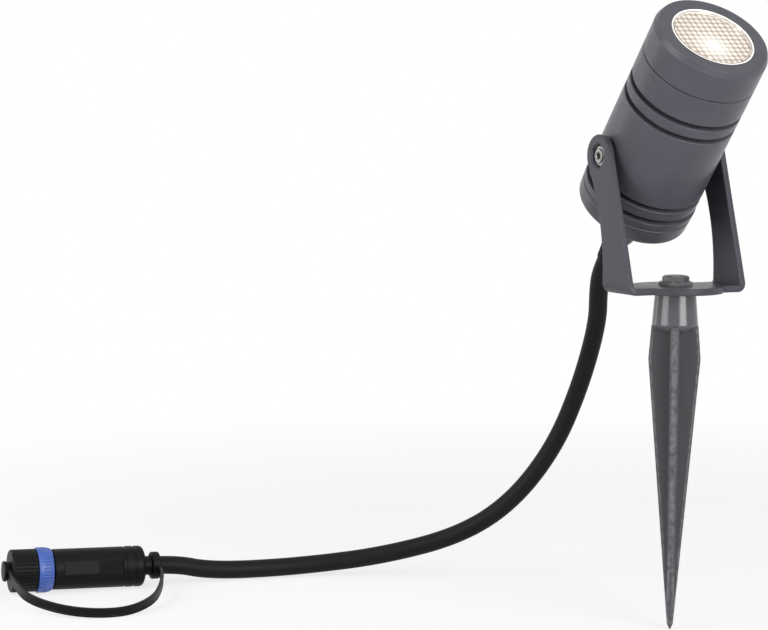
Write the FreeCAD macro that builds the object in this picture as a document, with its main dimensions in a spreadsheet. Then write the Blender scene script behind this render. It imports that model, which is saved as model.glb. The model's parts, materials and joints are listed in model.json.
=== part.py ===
import FreeCAD, Part
import math
import os
import re

import Sketcher
from FreeCAD import Placement, Rotation, Vector

# Garden spike spotlight, in millimetres and degrees.
# +Z is up, X runs along the tilt axis and the lamp leans towards -Y.
# The origin is on the spike's axis at the ground line, under the collar.
# The head is drawn about its own axis, which is Z here, with the tilt pivot at zero.
# The plug is drawn about its own axis, which is X here, with zero where the body meets the nose.

DIMENSIONS = [
    # Spike
    ("collar_height", 14, "ground line to the underside of the bracket"),
    ("collar_top_radius", 8.65, "collar at the bracket"),
    ("collar_base_radius", 9.75, "collar at the ground line"),
    ("blade_thickness", 3.2, "each of the two crossed blades"),
    ("blade_top_half", 9.9, "half width of a blade at the collar"),
    ("blade_wide_half", 11.05, "half width of a blade at its shoulder"),
    ("blade_shoulder_depth", 14.3, "depth of the shoulder"),
    ("blade_end_half", 1.3, "half width of a blade above the point"),
    ("blade_end_depth", 128.5, "depth where the point starts"),
    ("spike_depth", 131, "depth of the point"),
    ("blade_bevel", 0.9, "bevel along the blades' outer edges"),
    ("blade_turn", 57.2, "turn of the cross about the spike's axis"),
    ("insert_radius", 4.6, "threaded insert in the collar"),
    ("insert_depth", 1.5, "insert below the ground line"),
    # Bracket and its fastener
    ("plate_thick", 3, "sheet of the bracket"),
    ("bracket_width", 58.5, "outside of one arm to outside of the other"),
    ("foot_front", 10.6, "foot of the arms in front of the spike's axis"),
    ("foot_rear", 11.7, "foot of the arms behind the spike's axis"),
    ("rear_straight", 7, "upright part of the rear edge"),
    ("arm_end_radius", 9.1, "round end of the arms"),
    ("bend_radius", 4, "outside of the bends"),
    ("disc_radius", 20.3, "round seat over the spike"),
    ("bolt_radius", 3, "base bolt"),
    ("bolt_head_flats", 10, "base bolt's head across flats"),
    ("bolt_head_height", 2.4, "base bolt's head"),
    ("hex_plate_flats", 13.4, "hexagon plate under the bolt head"),
    ("hex_plate_height", 1.75, "hexagon plate under the bolt head"),
    # Tilt pivot
    ("pivot_y", 16.9, "tilt axis behind the spike's axis"),
    ("pivot_z", 71.4, "tilt axis above the ground line"),
    ("tilt_rest", 40, "lean of the head from upright"),
    ("tilt_screw_radius", 2.5, "tilt screw's shank"),
    ("tilt_screw_head", 4.1, "radius of the tilt screw's head"),
    ("tilt_recess_flats", 8.8, "hexagon recess in the arms across flats"),
    ("tilt_recess_depth", 1.9, "hexagon recess in the arms"),
    ("tilt_washer_radius", 6, "friction washer"),
    ("tilt_flat", 24.3, "flat spot on the barrel from the axis"),
    # Head
    ("head_radius", 25, "barrel"),
    ("bezel_face", 65.2, "front of the bezel"),
    ("bezel_bevel_across", 1.2, "front bevel across the axis"),
    ("bezel_bevel_along", 2.5, "front bevel along the axis"),
    ("opening_radius", 18.2, "opening in the bezel"),
    ("lip_back", 63, "back of the bezel's lip"),
    ("lens_rim", 17.3, "inside of the optic's raised rim"),
    ("lens_field", 63.3, "optic's face inside its rim"),
    ("seam", 50.1, "shoulder of the barrel under the bezel"),
    ("seam_gap", 0.35, "shadow gap under the bezel"),
    ("spigot_radius", 22.5, "barrel's spigot in the bezel"),
    ("spigot_end", 57.8, "front of the spigot"),
    ("groove_floor", 21.6, "radius at the bottom of the cooling grooves"),
    ("groove_width", 2.3, "cooling groove"),
    ("front_groove_top", 37.4, "first cooling groove"),
    ("middle_groove_top", 30.5, "second cooling groove"),
    ("rear_groove_top", -8.6, "third cooling groove"),
    ("last_groove_top", -15.4, "fourth cooling groove"),
    ("barrel_end", -17.5, "rear of the barrel"),
    ("edge_break", 0.35, "broken edges of the turned rings"),
    ("front_bore", 20.2, "optics chamber"),
    ("web_front", 39.9, "front of the barrel's web"),
    ("web_rear", 27, "rear of the barrel's web"),
    ("wire_hole", 3, "hole through the web"),
    ("rear_bore", 18.5, "driver chamber"),
    ("cap_end", -29.8, "rear of the rear cap"),
    ("cap_flange_radius", 25.3, "rear cap at the barrel"),
    ("cap_end_radius", 24.8, "rear cap at its round edge"),
    ("cap_round", 2.2, "round edge of the rear cap"),
    # Gland
    ("gland_flats", 17, "gland body across flats"),
    ("nut_flats", 15, "gland nut across flats"),
    ("gland_hex_end", -33.5, "rear of the gland body's hexagon"),
    ("gland_nut_end", -47.5, "rear of the gland nut"),
    ("relief_start", -41.2, "front of the strain relief"),
    ("relief_end", -61, "rear of the strain relief"),
    ("relief_radius", 5.7, "strain relief inside the nut"),
    ("relief_tip_radius", 4.75, "strain relief at its tip"),
    ("cord_radius", 4.2, "rubber cord"),
    # Plug
    ("plug_x", -218.2, "plug's zero point"),
    ("plug_y", 180.6, "plug's zero point"),
    ("plug_z", -120.71, "plug's zero point"),
    ("plug_heading", -6, "plug's axis from X, about Z"),
    ("plug_dip", 1.25, "fall of the plug towards the cord"),
    ("grip_roll", 11.5, "turn of the plug body about its axis, grip panel upwards"),
    ("plug_radius", 9.3, "plug body"),
    ("plug_ridge_radius", 9.4, "ridges at the cord end of the body"),
    ("plug_length", 42.4, "plug body"),
    ("neck_radius", 4.4, "neck at the cord"),
    ("neck_end", 50, "end of the neck"),
    ("nose_radius", 7.6, "threaded nose"),
    ("nose_end", -17.2, "front of the nose"),
    ("nose_bore", 6, "contact chamber"),
    ("ring_radius", 10.35, "locking ring"),
    ("ring_front", -7.4, "locking ring's front"),
    ("ring_back", -0.5, "locking ring's back"),
    ("cap_radius", 9.75, "dust cap"),
    ("cap_back", -7.7, "open end of the dust cap"),
    ("cap_front", -19.3, "closed end of the dust cap"),
    ("cap_wall", 1.2, "closed end of the dust cap"),
    ("button_radius", 4.7, "button on the dust cap"),
    # Strap
    ("strap_thick", 1.6, "strap"),
    ("strap_width", 4.2, "strap"),
    ("strap_drop", 7.8, "fall of the strap towards the ground, in degrees"),
    ("strap_ring_end", 48.6, "strap at the neck, along the plug"),
    ("strap_eye_end", -20.2, "strap at the button, along the plug"),
    ("strap_rise", 17.4, "straight part at the neck, from the plug's axis"),
    ("strap_neck_bend", 39.5, "bend at the neck"),
    ("strap_long_bend", 48.8, "bend along the plug"),
    ("strap_cap_bend", 27.2, "bend at the dust cap"),
]

# The cord's route from the strain relief to the plug's neck, as the corners of its straight runs.
# The first and last corners are the strain relief's tip and the neck's end.
CORD_CORNERS = [
    (0, 61.2, 18.6),
    (1.5, 67.4, 9.9),
    (6.9, 76.1, -6.3),
    (8.1, 91.4, -36.1),
    (1, 102.6, -66.6),
    (-14.9, 113.9, -93),
    (-34.1, 129.6, -110.2),
    (-63.3, 151.6, -121.4),
    (-96.2, 165.8, -126),
    (-130.2, 171.4, -127),
    (-154.4, 173.9, -122.1),
]

document = FreeCAD.newDocument("spike_spotlight")
sheet = document.addObject("Spreadsheet::Sheet", "Dims")
for row, (alias, number, note) in enumerate(DIMENSIONS, start=1):
    sheet.set("A%d" % row, note)
    sheet.set("B%d" % row, str(number))
    sheet.setAlias("B%d" % row, alias)
document.recompute()

ALIASES = {alias for alias, number, note in DIMENSIONS}


def bound(text):
    """The text as an expression of the sheet's cells."""
    return re.sub(r"[a-z_]+", lambda word: "Dims." + word.group() if word.group() in ALIASES else word.group(), text)


def size(text):
    """The number that an expression of the sheet's cells has now."""
    return float(sheet.evalExpression(bound(text)))


def bind(item, **sizes):
    for name, text in sizes.items():
        item.setExpression(name, bound(text))
    return item


def place(item, x="0", y="0", z="0", turn=Rotation()):
    """Put a primitive at a bound point."""
    item.Placement = Placement(Vector(size(x), size(y), size(z)), turn)
    for axis, text in (("x", x), ("y", y), ("z", z)):
        item.setExpression("Placement.Base." + axis, bound(text))
    return item


ALONG_X = Rotation(Vector(0, 1, 0), 90)


# ---- primitives and booleans ----

def cylinder(radius, height, **where):
    item = bind(document.addObject("Part::Cylinder", "Cylinder"), Radius=radius, Height=height)
    return place(item, **where)


def hexagon(flats, height, **where):
    item = bind(document.addObject("Part::Prism", "Hexagon"), Circumradius="(%s) / 2 / cos(30)" % flats, Height=height)
    item.Polygon = 6
    return place(item, **where)


def box(length, width, height, **where):
    item = bind(document.addObject("Part::Box", "Box"), Length=length, Width=width, Height=height)
    return place(item, **where)


def cut(base, *tools):
    """The base with every tool taken away."""
    item = document.addObject("Part::Cut", "Cut")
    item.Base = base
    item.Tool = tools[0] if len(tools) == 1 else fuse(*tools)
    return item


def fuse(*pieces):
    item = document.addObject("Part::MultiFuse", "Fuse")
    item.Shapes = list(pieces)
    item.Refine = True
    return item


def common(*pieces):
    item = document.addObject("Part::MultiCommon", "Common")
    item.Shapes = list(pieces)
    return item


# ---- sketched features ----

def sketch_on(body, role, lift="0"):
    """An empty sketch on one of the body's own planes, lifted along the plane's normal."""
    sketch = body.newObject("Sketcher::SketchObject", "Sketch")
    plane = next(item for item in body.Origin.OriginFeatures if item.Role == role)
    sketch.AttachmentSupport = (plane, [""])
    sketch.MapMode = "FlatFace"
    sketch.AttachmentOffset = Placement(Vector(0, 0, size(lift)), Rotation())
    sketch.setExpression("AttachmentOffset.Base.z", bound(lift))
    return sketch


def hold(sketch, curve, point, across=None, up=None):
    """Hold a point of a sketch at bound distances from the sketch's origin."""
    for kind, text, axis in (("DistanceX", across, -2), ("DistanceY", up, -1)):
        if text is None:
            continue
        if abs(size(text)) < 1e-9:
            sketch.addConstraint(Sketcher.Constraint("PointOnObject", curve, point, axis))
            continue
        index = sketch.addConstraint(Sketcher.Constraint(kind, -1, 1, curve, point, size(text)))
        sketch.setExpression("Constraints[%d]" % index, bound(text))


def polygon(sketch, corners):
    """A closed outline through bound corners."""
    points = [Vector(size(across), size(up), 0) for across, up in corners]
    count = len(points)
    first = sketch.GeometryCount
    for index in range(count):
        sketch.addGeometry(Part.LineSegment(points[index], points[(index + 1) % count]), False)
    for index in range(count):
        sketch.addConstraint(Sketcher.Constraint("Coincident", first + index, 2, first + (index + 1) % count, 1))
    for index, (across, up) in enumerate(corners):
        hold(sketch, first + index, 1, across, up)


def turned(corners, about="V_Axis"):
    """A body turned from an outline: about Z, or about X where the outline is given along X."""
    body = document.addObject("PartDesign::Body", "Turned")
    sketch = sketch_on(body, "XZ_Plane")
    polygon(sketch, corners)
    revolution = body.newObject("PartDesign::Revolution", "Revolution")
    revolution.Profile = sketch
    revolution.ReferenceAxis = (sketch, [about])
    revolution.Angle = 360
    return body


def turned_along_x(corners):
    return turned(corners, "H_Axis")


def circle_on(sketch, radius, across, up):
    curve = sketch.addGeometry(Part.Circle(Vector(size(across), size(up), 0), Vector(0, 0, 1), size(radius)), False)
    hold(sketch, curve, 3, across, up)
    index = sketch.addConstraint(Sketcher.Constraint("Radius", curve, size(radius)))
    sketch.setExpression("Constraints[%d]" % index, bound(radius))


def seal_ring(radius, section, level, about="V_Axis"):
    """A rubber ring of round section about Z, or about X."""
    body = document.addObject("PartDesign::Body", "SealRing")
    sketch = sketch_on(body, "XZ_Plane")
    if about == "V_Axis":
        circle_on(sketch, section, radius, level)
    else:
        circle_on(sketch, section, level, radius)
    revolution = body.newObject("PartDesign::Revolution", "Revolution")
    revolution.Profile = sketch
    revolution.ReferenceAxis = (sketch, [about])
    revolution.Angle = 360
    return body


def rod(role, radius, start, length, across="0", up="0"):
    """A round rod from a lifted plane along the plane's normal."""
    body = document.addObject("PartDesign::Body", "Rod")
    sketch = sketch_on(body, role, start)
    circle_on(sketch, radius, across, up)
    pad = body.newObject("PartDesign::Pad", "Pad")
    pad.Profile = sketch
    bind(pad, Length=length)
    return body


def padded(role, corners, length):
    """A body padded both ways from one of its planes."""
    body = document.addObject("PartDesign::Body", "Padded")
    sketch = sketch_on(body, role)
    polygon(sketch, corners)
    pad = body.newObject("PartDesign::Pad", "Pad")
    pad.Profile = sketch
    pad.SideType = "Symmetric"
    bind(pad, Length=length)
    return body


def soften(body, kind, amount, wanted):
    """Round or bevel the edges of the body's tip that the test picks."""
    document.recompute()
    tip = body.Tip
    names = ["Edge%d" % number for number, edge in enumerate(tip.Shape.Edges, start=1) if wanted(edge)]
    if not names:
        raise RuntimeError("no edge to soften on " + body.Label)
    feature = body.newObject("PartDesign::" + kind, kind)
    feature.Base = (tip, names)
    bind(feature, **{"Radius" if kind == "Fillet" else "Size": amount})
    return body


def circle_edge(radius, level, along="z"):
    """A test for a circular edge of one radius at one level along the turning axis."""
    def wanted(edge):
        return (isinstance(edge.Curve, Part.Circle) and abs(edge.Curve.Radius - size(radius)) < 1e-4
                and abs(getattr(edge.Curve.Center, along) - size(level)) < 1e-4)
    return wanted


def carve(body, role, lift, corners, depth, outwards=False):
    """A pocket from a lifted plane; the solid must lose volume."""
    document.recompute()
    before = body.Shape.Volume
    sketch = sketch_on(body, role, lift)
    polygon(sketch, corners)
    pocket = body.newObject("PartDesign::Pocket", "Pocket")
    pocket.Profile = sketch
    pocket.Reversed = outwards
    bind(pocket, Length=depth)
    document.recompute()
    if body.Shape.Volume > before - 1e-3:
        raise RuntimeError("a pocket cut nothing from " + body.Label)
    return pocket


def repeat_round(body, feature, count):
    """Repeat a feature about the body's X axis."""
    pattern = body.newObject("PartDesign::PolarPattern", "Round")
    pattern.Originals = [feature]
    pattern.Axis = (next(item for item in body.Origin.OriginFeatures if item.Role == "X_Axis"), [""])
    pattern.Angle = 360
    pattern.Occurrences = count
    body.Tip = pattern


def repeat_along(body, feature, length, count):
    """Repeat a feature along the body's X axis."""
    pattern = body.newObject("PartDesign::LinearPattern", "Row")
    pattern.Originals = [feature]
    pattern.Direction = (next(item for item in body.Origin.OriginFeatures if item.Role == "X_Axis"), [""])
    bind(pattern, Length=length)
    pattern.Occurrences = count
    body.Tip = pattern


# ---- the frames of the lamp's groups ----

GROUND = Placement()
SPIKE = Placement(Vector(), Rotation(Vector(0, 0, 1), size("blade_turn")))
HEAD = Placement(Vector(0, size("pivot_y"), size("pivot_z")), Rotation(Vector(1, 0, 0), size("tilt_rest")))
PLUG = Placement(Vector(size("plug_x"), size("plug_y"), size("plug_z")),
                 Rotation(Vector(0, 0, 1), size("plug_heading")) * Rotation(Vector(0, 1, 0), size("plug_dip")))
STRAP = PLUG * Placement(Vector(), Rotation(Vector(1, 0, 0), 180 + size("strap_drop")))

nodes = {}


def node(name, item, frame):
    """Name a finished piece and put it in its group's frame."""
    item.Label = name
    item.Placement = frame
    nodes[name] = item
    return item


# ---- spike ----

def blade(role):
    outline = [
        ("-blade_top_half", "0"),
        ("-blade_wide_half", "-blade_shoulder_depth"),
        ("-blade_end_half", "-blade_end_depth"),
        ("0", "-spike_depth"),
        ("blade_end_half", "-blade_end_depth"),
        ("blade_wide_half", "-blade_shoulder_depth"),
        ("blade_top_half", "0"),
    ]
    body = padded(role, outline, "blade_thickness")
    across = "x" if role == "XZ_Plane" else "y"

    def outer_edge(edge):
        ends = [getattr(vertex.Point, across) for vertex in edge.Vertexes]
        levels = [vertex.Point.z for vertex in edge.Vertexes]
        return (min(abs(end) for end in ends) > 0.5 and ends[0] * ends[1] > 0
                and abs(levels[0] - levels[1]) > 5)
    return soften(body, "Chamfer", "blade_bevel", outer_edge)


point_envelope = turned([
    ("0", "-spike_depth"),
    ("0.4", "-spike_depth"),
    ("2.1", "-blade_end_depth"),
    ("14", "-blade_end_depth + 9"),
    ("14", "0"),
    ("0", "0"),
])
collar = turned([
    ("0", "-2"),
    ("collar_base_radius - 2.4", "-2"),
    ("collar_base_radius - 0.3", "0"),
    ("collar_base_radius", "0.5"),
    ("collar_top_radius", "collar_height - 0.05"),
    ("0", "collar_height - 0.05"),
])
core = turned([("0", "0"), ("3.2", "0"), ("1.1", "-blade_end_depth + 6"), ("0", "-blade_end_depth + 6")])
spike_solid = fuse(common(fuse(blade("XZ_Plane"), blade("YZ_Plane")), point_envelope), collar, core)
insert_hole = cylinder("insert_radius", "insert_depth + collar_height", z="-insert_depth")
node("spike", cut(spike_solid, insert_hole), SPIKE)

insert_tube = turned([
    ("bolt_radius", "-insert_depth"),
    ("insert_radius", "-insert_depth"),
    ("insert_radius", "collar_height - 0.4"),
    ("bolt_radius", "collar_height - 0.4"),
])
node("threaded_insert", insert_tube, SPIKE)

# ---- base fastener ----

head_level = "collar_height + plate_thick + 0.1 + hex_plate_height"
bolt_head = common(
    hexagon("bolt_head_flats", "bolt_head_height", z=head_level, turn=Rotation(Vector(0, 0, 1), 30)),
    turned([
        ("0", head_level),
        ("bolt_head_flats * 0.58", head_level),
        ("bolt_head_flats * 0.58", head_level + " + bolt_head_height - 0.7"),
        ("bolt_head_flats * 0.47", head_level + " + bolt_head_height"),
        ("0", head_level + " + bolt_head_height"),
    ]))
shank = cylinder("bolt_radius", head_level + " + 1", z="-1")
node("base_bolt", fuse(bolt_head, shank), GROUND)

hex_plate_level = "collar_height + plate_thick + 0.05"
hex_plate = common(
    hexagon("hex_plate_flats", "hex_plate_height", z=hex_plate_level, turn=Rotation(Vector(0, 0, 1), 6)),
    turned([
        ("bolt_radius + 0.05", hex_plate_level),
        ("hex_plate_flats * 0.6", hex_plate_level),
        ("hex_plate_flats * 0.6", hex_plate_level + " + hex_plate_height - 0.5"),
        ("hex_plate_flats * 0.51", hex_plate_level + " + hex_plate_height"),
        ("bolt_radius + 0.05", hex_plate_level + " + hex_plate_height"),
    ]))
node("hex_plate", hex_plate, GROUND)

# ---- bracket ----

channel = padded("XZ_Plane", [
    ("-bracket_width / 2", "collar_height"),
    ("bracket_width / 2", "collar_height"),
    ("bracket_width / 2", "pivot_z + 20"),
    ("bracket_width / 2 - plate_thick", "pivot_z + 20"),
    ("bracket_width / 2 - plate_thick", "collar_height + plate_thick"),
    ("-bracket_width / 2 + plate_thick", "collar_height + plate_thick"),
    ("-bracket_width / 2 + plate_thick", "pivot_z + 20"),
    ("-bracket_width / 2", "pivot_z + 20"),
], "80")


def bend_edge(half_width, level):
    """A test for the channel's long edges at a bend."""
    def wanted(edge):
        middle = edge.CenterOfMass
        return (edge.Length > 70 and abs(abs(middle.x) - size(half_width)) < 1e-4
                and abs(middle.z - size(level)) < 1e-4)
    return wanted


soften(channel, "Fillet", "bend_radius", bend_edge("bracket_width / 2", "collar_height"))
soften(channel, "Fillet", "bend_radius - plate_thick",
       bend_edge("bracket_width / 2 - plate_thick", "collar_height + plate_thick"))


def arm_outline():
    """The bracket from the side: a straight leaning front edge, a round end at the pivot,
    and a rear edge that starts upright and bends back to meet the round end."""
    body = document.addObject("PartDesign::Body", "ArmOutline")
    sketch = sketch_on(body, "YZ_Plane")
    pivot = Vector(size("pivot_y"), size("pivot_z"), 0)
    foot = size("collar_height")
    front = Vector(-size("foot_front"), foot, 0)
    rear = Vector(size("foot_rear"), foot, 0)
    rear_top = Vector(size("foot_rear"), foot + size("rear_straight"), 0)
    end_radius = size("arm_end_radius")
    inset = rear_top.x - pivot.x
    rise = pivot.y - rear_top.y
    rear_radius = (inset ** 2 + rise ** 2 - end_radius ** 2) / (2 * (end_radius - inset))
    rear_centre = rear_top + Vector(rear_radius, 0, 0)
    to_rear = rear_centre - pivot
    join = pivot + to_rear.normalize() * end_radius
    to_pivot = pivot - front
    lean = math.atan2(to_pivot.y, to_pivot.x) + math.asin(end_radius / to_pivot.Length)
    reach = math.sqrt(to_pivot.Length ** 2 - end_radius ** 2)
    touch = front + Vector(math.cos(lean), math.sin(lean), 0) * reach

    def angle(point, centre):
        return math.atan2(point.y - centre.y, point.x - centre.x)
    up = Vector(0, 0, 1)
    foot_line, rear_line, rear_arc, end_arc, front_line = sketch.addGeometry([
        Part.LineSegment(front, rear),
        Part.LineSegment(rear, rear_top),
        Part.ArcOfCircle(Part.Circle(rear_centre, up, rear_radius), angle(join, rear_centre), math.pi),
        Part.ArcOfCircle(Part.Circle(pivot, up, end_radius), angle(join, pivot), angle(touch, pivot)),
        Part.LineSegment(touch, front),
    ], False)
    for constraint in (
            ("Coincident", foot_line, 2, rear_line, 1),
            ("Tangent", rear_line, 2, rear_arc, 2),
            ("Tangent", rear_arc, 1, end_arc, 1),
            ("Tangent", end_arc, 2, front_line, 1),
            ("Coincident", front_line, 2, foot_line, 1),
            ("Horizontal", foot_line),
            ("Vertical", rear_line)):
        sketch.addConstraint(Sketcher.Constraint(*constraint))
    hold(sketch, foot_line, 1, "-foot_front", "collar_height")
    hold(sketch, rear_line, 1, "foot_rear")
    hold(sketch, rear_line, 2, None, "collar_height + rear_straight")
    hold(sketch, end_arc, 3, "pivot_y", "pivot_z")
    radius = sketch.addConstraint(Sketcher.Constraint("Radius", end_arc, end_radius))
    sketch.setExpression("Constraints[%d]" % radius, bound("arm_end_radius"))
    pad = body.newObject("PartDesign::Pad", "Pad")
    pad.Profile = sketch
    pad.SideType = "Symmetric"
    bind(pad, Length="bracket_width + 10")
    return body


seat = cylinder("disc_radius", "plate_thick", z="collar_height")
bent_sheet = fuse(common(channel, arm_outline()), seat)
base_hole = cylinder("bolt_radius + 0.05", "20", z="collar_height - 5")
pivot_hole = cylinder("tilt_screw_radius + 0.05", "bracket_width + 10",
                      x="-bracket_width / 2 - 5", y="pivot_y", z="pivot_z", turn=ALONG_X)
left_recess = hexagon("tilt_recess_flats", "tilt_recess_depth + 1",
                      x="-bracket_width / 2 - 1", y="pivot_y", z="pivot_z", turn=ALONG_X)
right_recess = hexagon("tilt_recess_flats", "tilt_recess_depth + 1",
                       x="bracket_width / 2 - tilt_recess_depth", y="pivot_y", z="pivot_z", turn=ALONG_X)


def recess_mouth(side):
    """The bevel round a tilt recess, at the arm's outer face."""
    cone = document.addObject("Part::Cone", "Mouth")
    mouth = ("tilt_recess_flats * 0.5774", "tilt_recess_flats * 0.5774 + 0.7")
    inner, outer = mouth if side > 0 else reversed(mouth)
    bind(cone, Radius1=inner, Radius2=outer, Height="0.7")
    start = "bracket_width / 2 - 0.7" if side > 0 else "-bracket_width / 2"
    return place(cone, x=start, y="pivot_y", z="pivot_z", turn=ALONG_X)


bracket_solid = cut(bent_sheet, base_hole, pivot_hole, left_recess, right_recess, recess_mouth(-1), recess_mouth(1))
node("bracket", bracket_solid, GROUND)

# ---- head: barrel and bezel ----

def groove_corners(top):
    """A cooling groove in the barrel's outline, from its front edge to its rear edge."""
    bottom = top + " - groove_width"
    return [
        ("head_radius", top + " + edge_break"),
        ("head_radius - edge_break", top),
        ("groove_floor", top),
        ("groove_floor", bottom),
        ("head_radius - edge_break", bottom),
        ("head_radius", bottom + " - edge_break"),
    ]


barrel = turned(
    [
        ("wire_hole", "web_rear"),
        ("wire_hole", "web_front"),
        ("front_bore", "web_front"),
        ("front_bore", "spigot_end"),
        ("spigot_radius", "spigot_end"),
        ("spigot_radius", "seam + 5.1"),
        ("spigot_radius - 1.3", "seam + 5.1"),
        ("spigot_radius - 1.3", "seam + 3.2"),
        ("spigot_radius", "seam + 3.2"),
        ("spigot_radius", "seam"),
        ("head_radius - edge_break", "seam"),
        ("head_radius", "seam - edge_break"),
    ]
    + groove_corners("front_groove_top")
    + groove_corners("middle_groove_top")
    + groove_corners("rear_groove_top")
    + [
        ("head_radius", "last_groove_top + edge_break"),
        ("head_radius - edge_break", "last_groove_top"),
        ("groove_floor", "last_groove_top"),
        ("groove_floor", "barrel_end"),
        ("rear_bore", "barrel_end"),
        ("rear_bore", "web_rear"),
    ])


def washer_spot(x):
    return cylinder("tilt_washer_radius + 0.3", "5", x=x, turn=ALONG_X)


screw_hole = cylinder("tilt_screw_radius + 0.02", "60", x="-30", turn=ALONG_X)
web_and_bore = cylinder("rear_bore - 0.4", "web_front - barrel_end", z="barrel_end")
side_holes = cut(screw_hole, web_and_bore)
node("head_barrel", cut(barrel, washer_spot("tilt_flat"), washer_spot("-tilt_flat - 5"), side_holes), HEAD)

bezel = turned([
    ("opening_radius", "lip_back"),
    ("opening_radius", "bezel_face - 0.15"),
    ("opening_radius + 0.15", "bezel_face"),
    ("head_radius - bezel_bevel_across", "bezel_face"),
    ("head_radius", "bezel_face - bezel_bevel_along"),
    ("head_radius", "seam + seam_gap + edge_break"),
    ("head_radius - edge_break", "seam + seam_gap"),
    ("spigot_radius + 0.1", "seam + seam_gap"),
    ("spigot_radius + 0.1", "spigot_end + 0.2"),
    ("spigot_radius - 0.9", "spigot_end + 0.2"),
    ("spigot_radius - 0.9", "lip_back"),
])
node("front_bezel", bezel, HEAD)
node("bezel_seal", seal_ring("spigot_radius - 0.58", "0.65", "seam + 4.15"), HEAD)

# ---- head: optics and light source ----

node("glass_gasket", turned([
    ("opening_radius + 0.2", "lip_back - 0.6"),
    ("spigot_radius - 1", "lip_back - 0.6"),
    ("spigot_radius - 1", "lip_back"),
    ("opening_radius + 0.2", "lip_back"),
]), HEAD)
node("front_glass", rod("XY_Plane", "lens_rim - 0.05", "lens_field + 0.05", "bezel_face - 0.25 - lens_field"), HEAD)
node("pillow_lens", turned([
    ("0", "spigot_end + 0.05"),
    ("spigot_radius - 1.2", "spigot_end + 0.05"),
    ("spigot_radius - 1.2", "lip_back - 0.6"),
    ("opening_radius - 0.1", "lip_back - 0.6"),
    ("opening_radius - 0.1", "bezel_face - 0.3"),
    ("opening_radius - 0.3", "bezel_face - 0.1"),
    ("lens_rim", "bezel_face - 0.1"),
    ("lens_rim", "lens_field"),
    ("0", "lens_field"),
]), HEAD)
node("collimator_lens", turned([
    ("0", "web_front + 4"),
    ("7.4", "web_front + 4"),
    ("front_bore - 1.2", "spigot_end - 1.5"),
    ("front_bore - 1.2", "spigot_end - 0.1"),
    ("0", "spigot_end - 0.1"),
]), HEAD)
node("lens_holder", turned([
    ("front_bore - 1", "web_front + 2.3"),
    ("front_bore - 0.1", "web_front + 2.3"),
    ("front_bore - 0.1", "spigot_end - 0.1"),
    ("front_bore - 1", "spigot_end - 0.1"),
]), HEAD)
node("thermal_pad", turned([
    ("wire_hole", "web_front"),
    ("front_bore - 0.5", "web_front"),
    ("front_bore - 0.5", "web_front + 0.5"),
    ("wire_hole", "web_front + 0.5"),
]), HEAD)
node("led_board", rod("XY_Plane", "front_bore - 0.2", "web_front + 0.5", "1.6"), HEAD)
chip_base = box("14", "14", "1", x="-7", y="-7", z="web_front + 2.1")
chip_window = cylinder("5.5", "0.4", z="web_front + 3.1")
node("led_chip", fuse(chip_base, chip_window), HEAD)

# ---- head: driver, leads and rear cap ----

node("driver_block", rod("XY_Plane", "rear_bore - 0.3", "barrel_end + 4.4", "web_rear - barrel_end - 4.7"), HEAD)
for side, name in ((-1, "lead_supply"), (1, "lead_return")):
    lead = rod("XY_Plane", "0.8", "web_rear - 0.3", "web_front + 0.5 - web_rear + 0.3", "%d * 1.4" % side)
    node(name, lead, HEAD)

rear_cap = turned([
    ("cord_radius + 0.3", "barrel_end + 4.1"),
    ("rear_bore - 0.2", "barrel_end + 4.1"),
    ("rear_bore - 0.2", "barrel_end + 2.6"),
    ("rear_bore - 1.5", "barrel_end + 2.6"),
    ("rear_bore - 1.5", "barrel_end + 0.8"),
    ("rear_bore - 0.2", "barrel_end + 0.8"),
    ("rear_bore - 0.2", "barrel_end - 0.2"),
    ("cap_flange_radius - edge_break", "barrel_end - 0.2"),
    ("cap_flange_radius", "barrel_end - 0.2 - edge_break"),
    ("cap_flange_radius", "barrel_end - 3.2"),
    ("cap_flange_radius - 0.5", "barrel_end - 3.5"),
    ("cap_flange_radius - 0.5", "barrel_end - 4"),
    ("cap_flange_radius - 0.1", "barrel_end - 4.3"),
    ("cap_end_radius", "cap_end"),
    ("6.05", "cap_end"),
    ("6.05", "cap_end + 6"),
    ("cord_radius + 0.3", "cap_end + 6"),
])
soften(rear_cap, "Fillet", "cap_round", circle_edge("cap_end_radius", "cap_end"))
node("rear_cap", rear_cap, HEAD)
node("rear_seal", seal_ring("rear_bore - 0.8", "0.6", "barrel_end + 1.7"), HEAD)

# ---- gland and strain relief ----

gland_stub = turned([
    ("cord_radius + 0.1", "cap_end + 5.8"),
    ("6", "cap_end + 5.8"),
    ("6", "cap_end"),
    ("gland_flats * 0.565", "cap_end"),
    ("gland_flats * 0.565", "gland_hex_end"),
    ("6.6", "gland_hex_end"),
    ("6.6", "relief_start + 1.2"),
    ("5.6", "relief_start + 1.2"),
    ("5.6", "relief_start + 5.2"),
    ("cord_radius + 0.1", "relief_start + 5.2"),
])
hex_height = "cap_end + 6 - gland_nut_end"
gland_hex = hexagon("gland_flats", hex_height, z="gland_nut_end")
node("gland_body", common(gland_stub, gland_hex), HEAD)
node("gland_seal", turned([
    ("cord_radius + 0.05", "relief_start + 0.1"),
    ("5.55", "relief_start + 0.1"),
    ("5.55", "relief_start + 5.1"),
    ("cord_radius + 0.05", "relief_start + 5.1"),
]), HEAD)
nut_ring = turned([
    ("6.7", "gland_hex_end - 0.4"),
    ("7.5", "gland_hex_end - 0.4"),
    ("8.3", "gland_hex_end - 1"),
    ("8.3", "relief_start + 0.2"),
    ("6.9", "gland_nut_end + 1.6"),
    ("6.3", "gland_nut_end"),
    ("relief_radius + 0.05", "gland_nut_end"),
    ("relief_radius + 0.05", "relief_start + 0.4"),
    ("6.7", "relief_start + 0.4"),
])
node("gland_nut", common(nut_ring, hexagon("nut_flats", hex_height, z="gland_nut_end")), HEAD)


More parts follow.
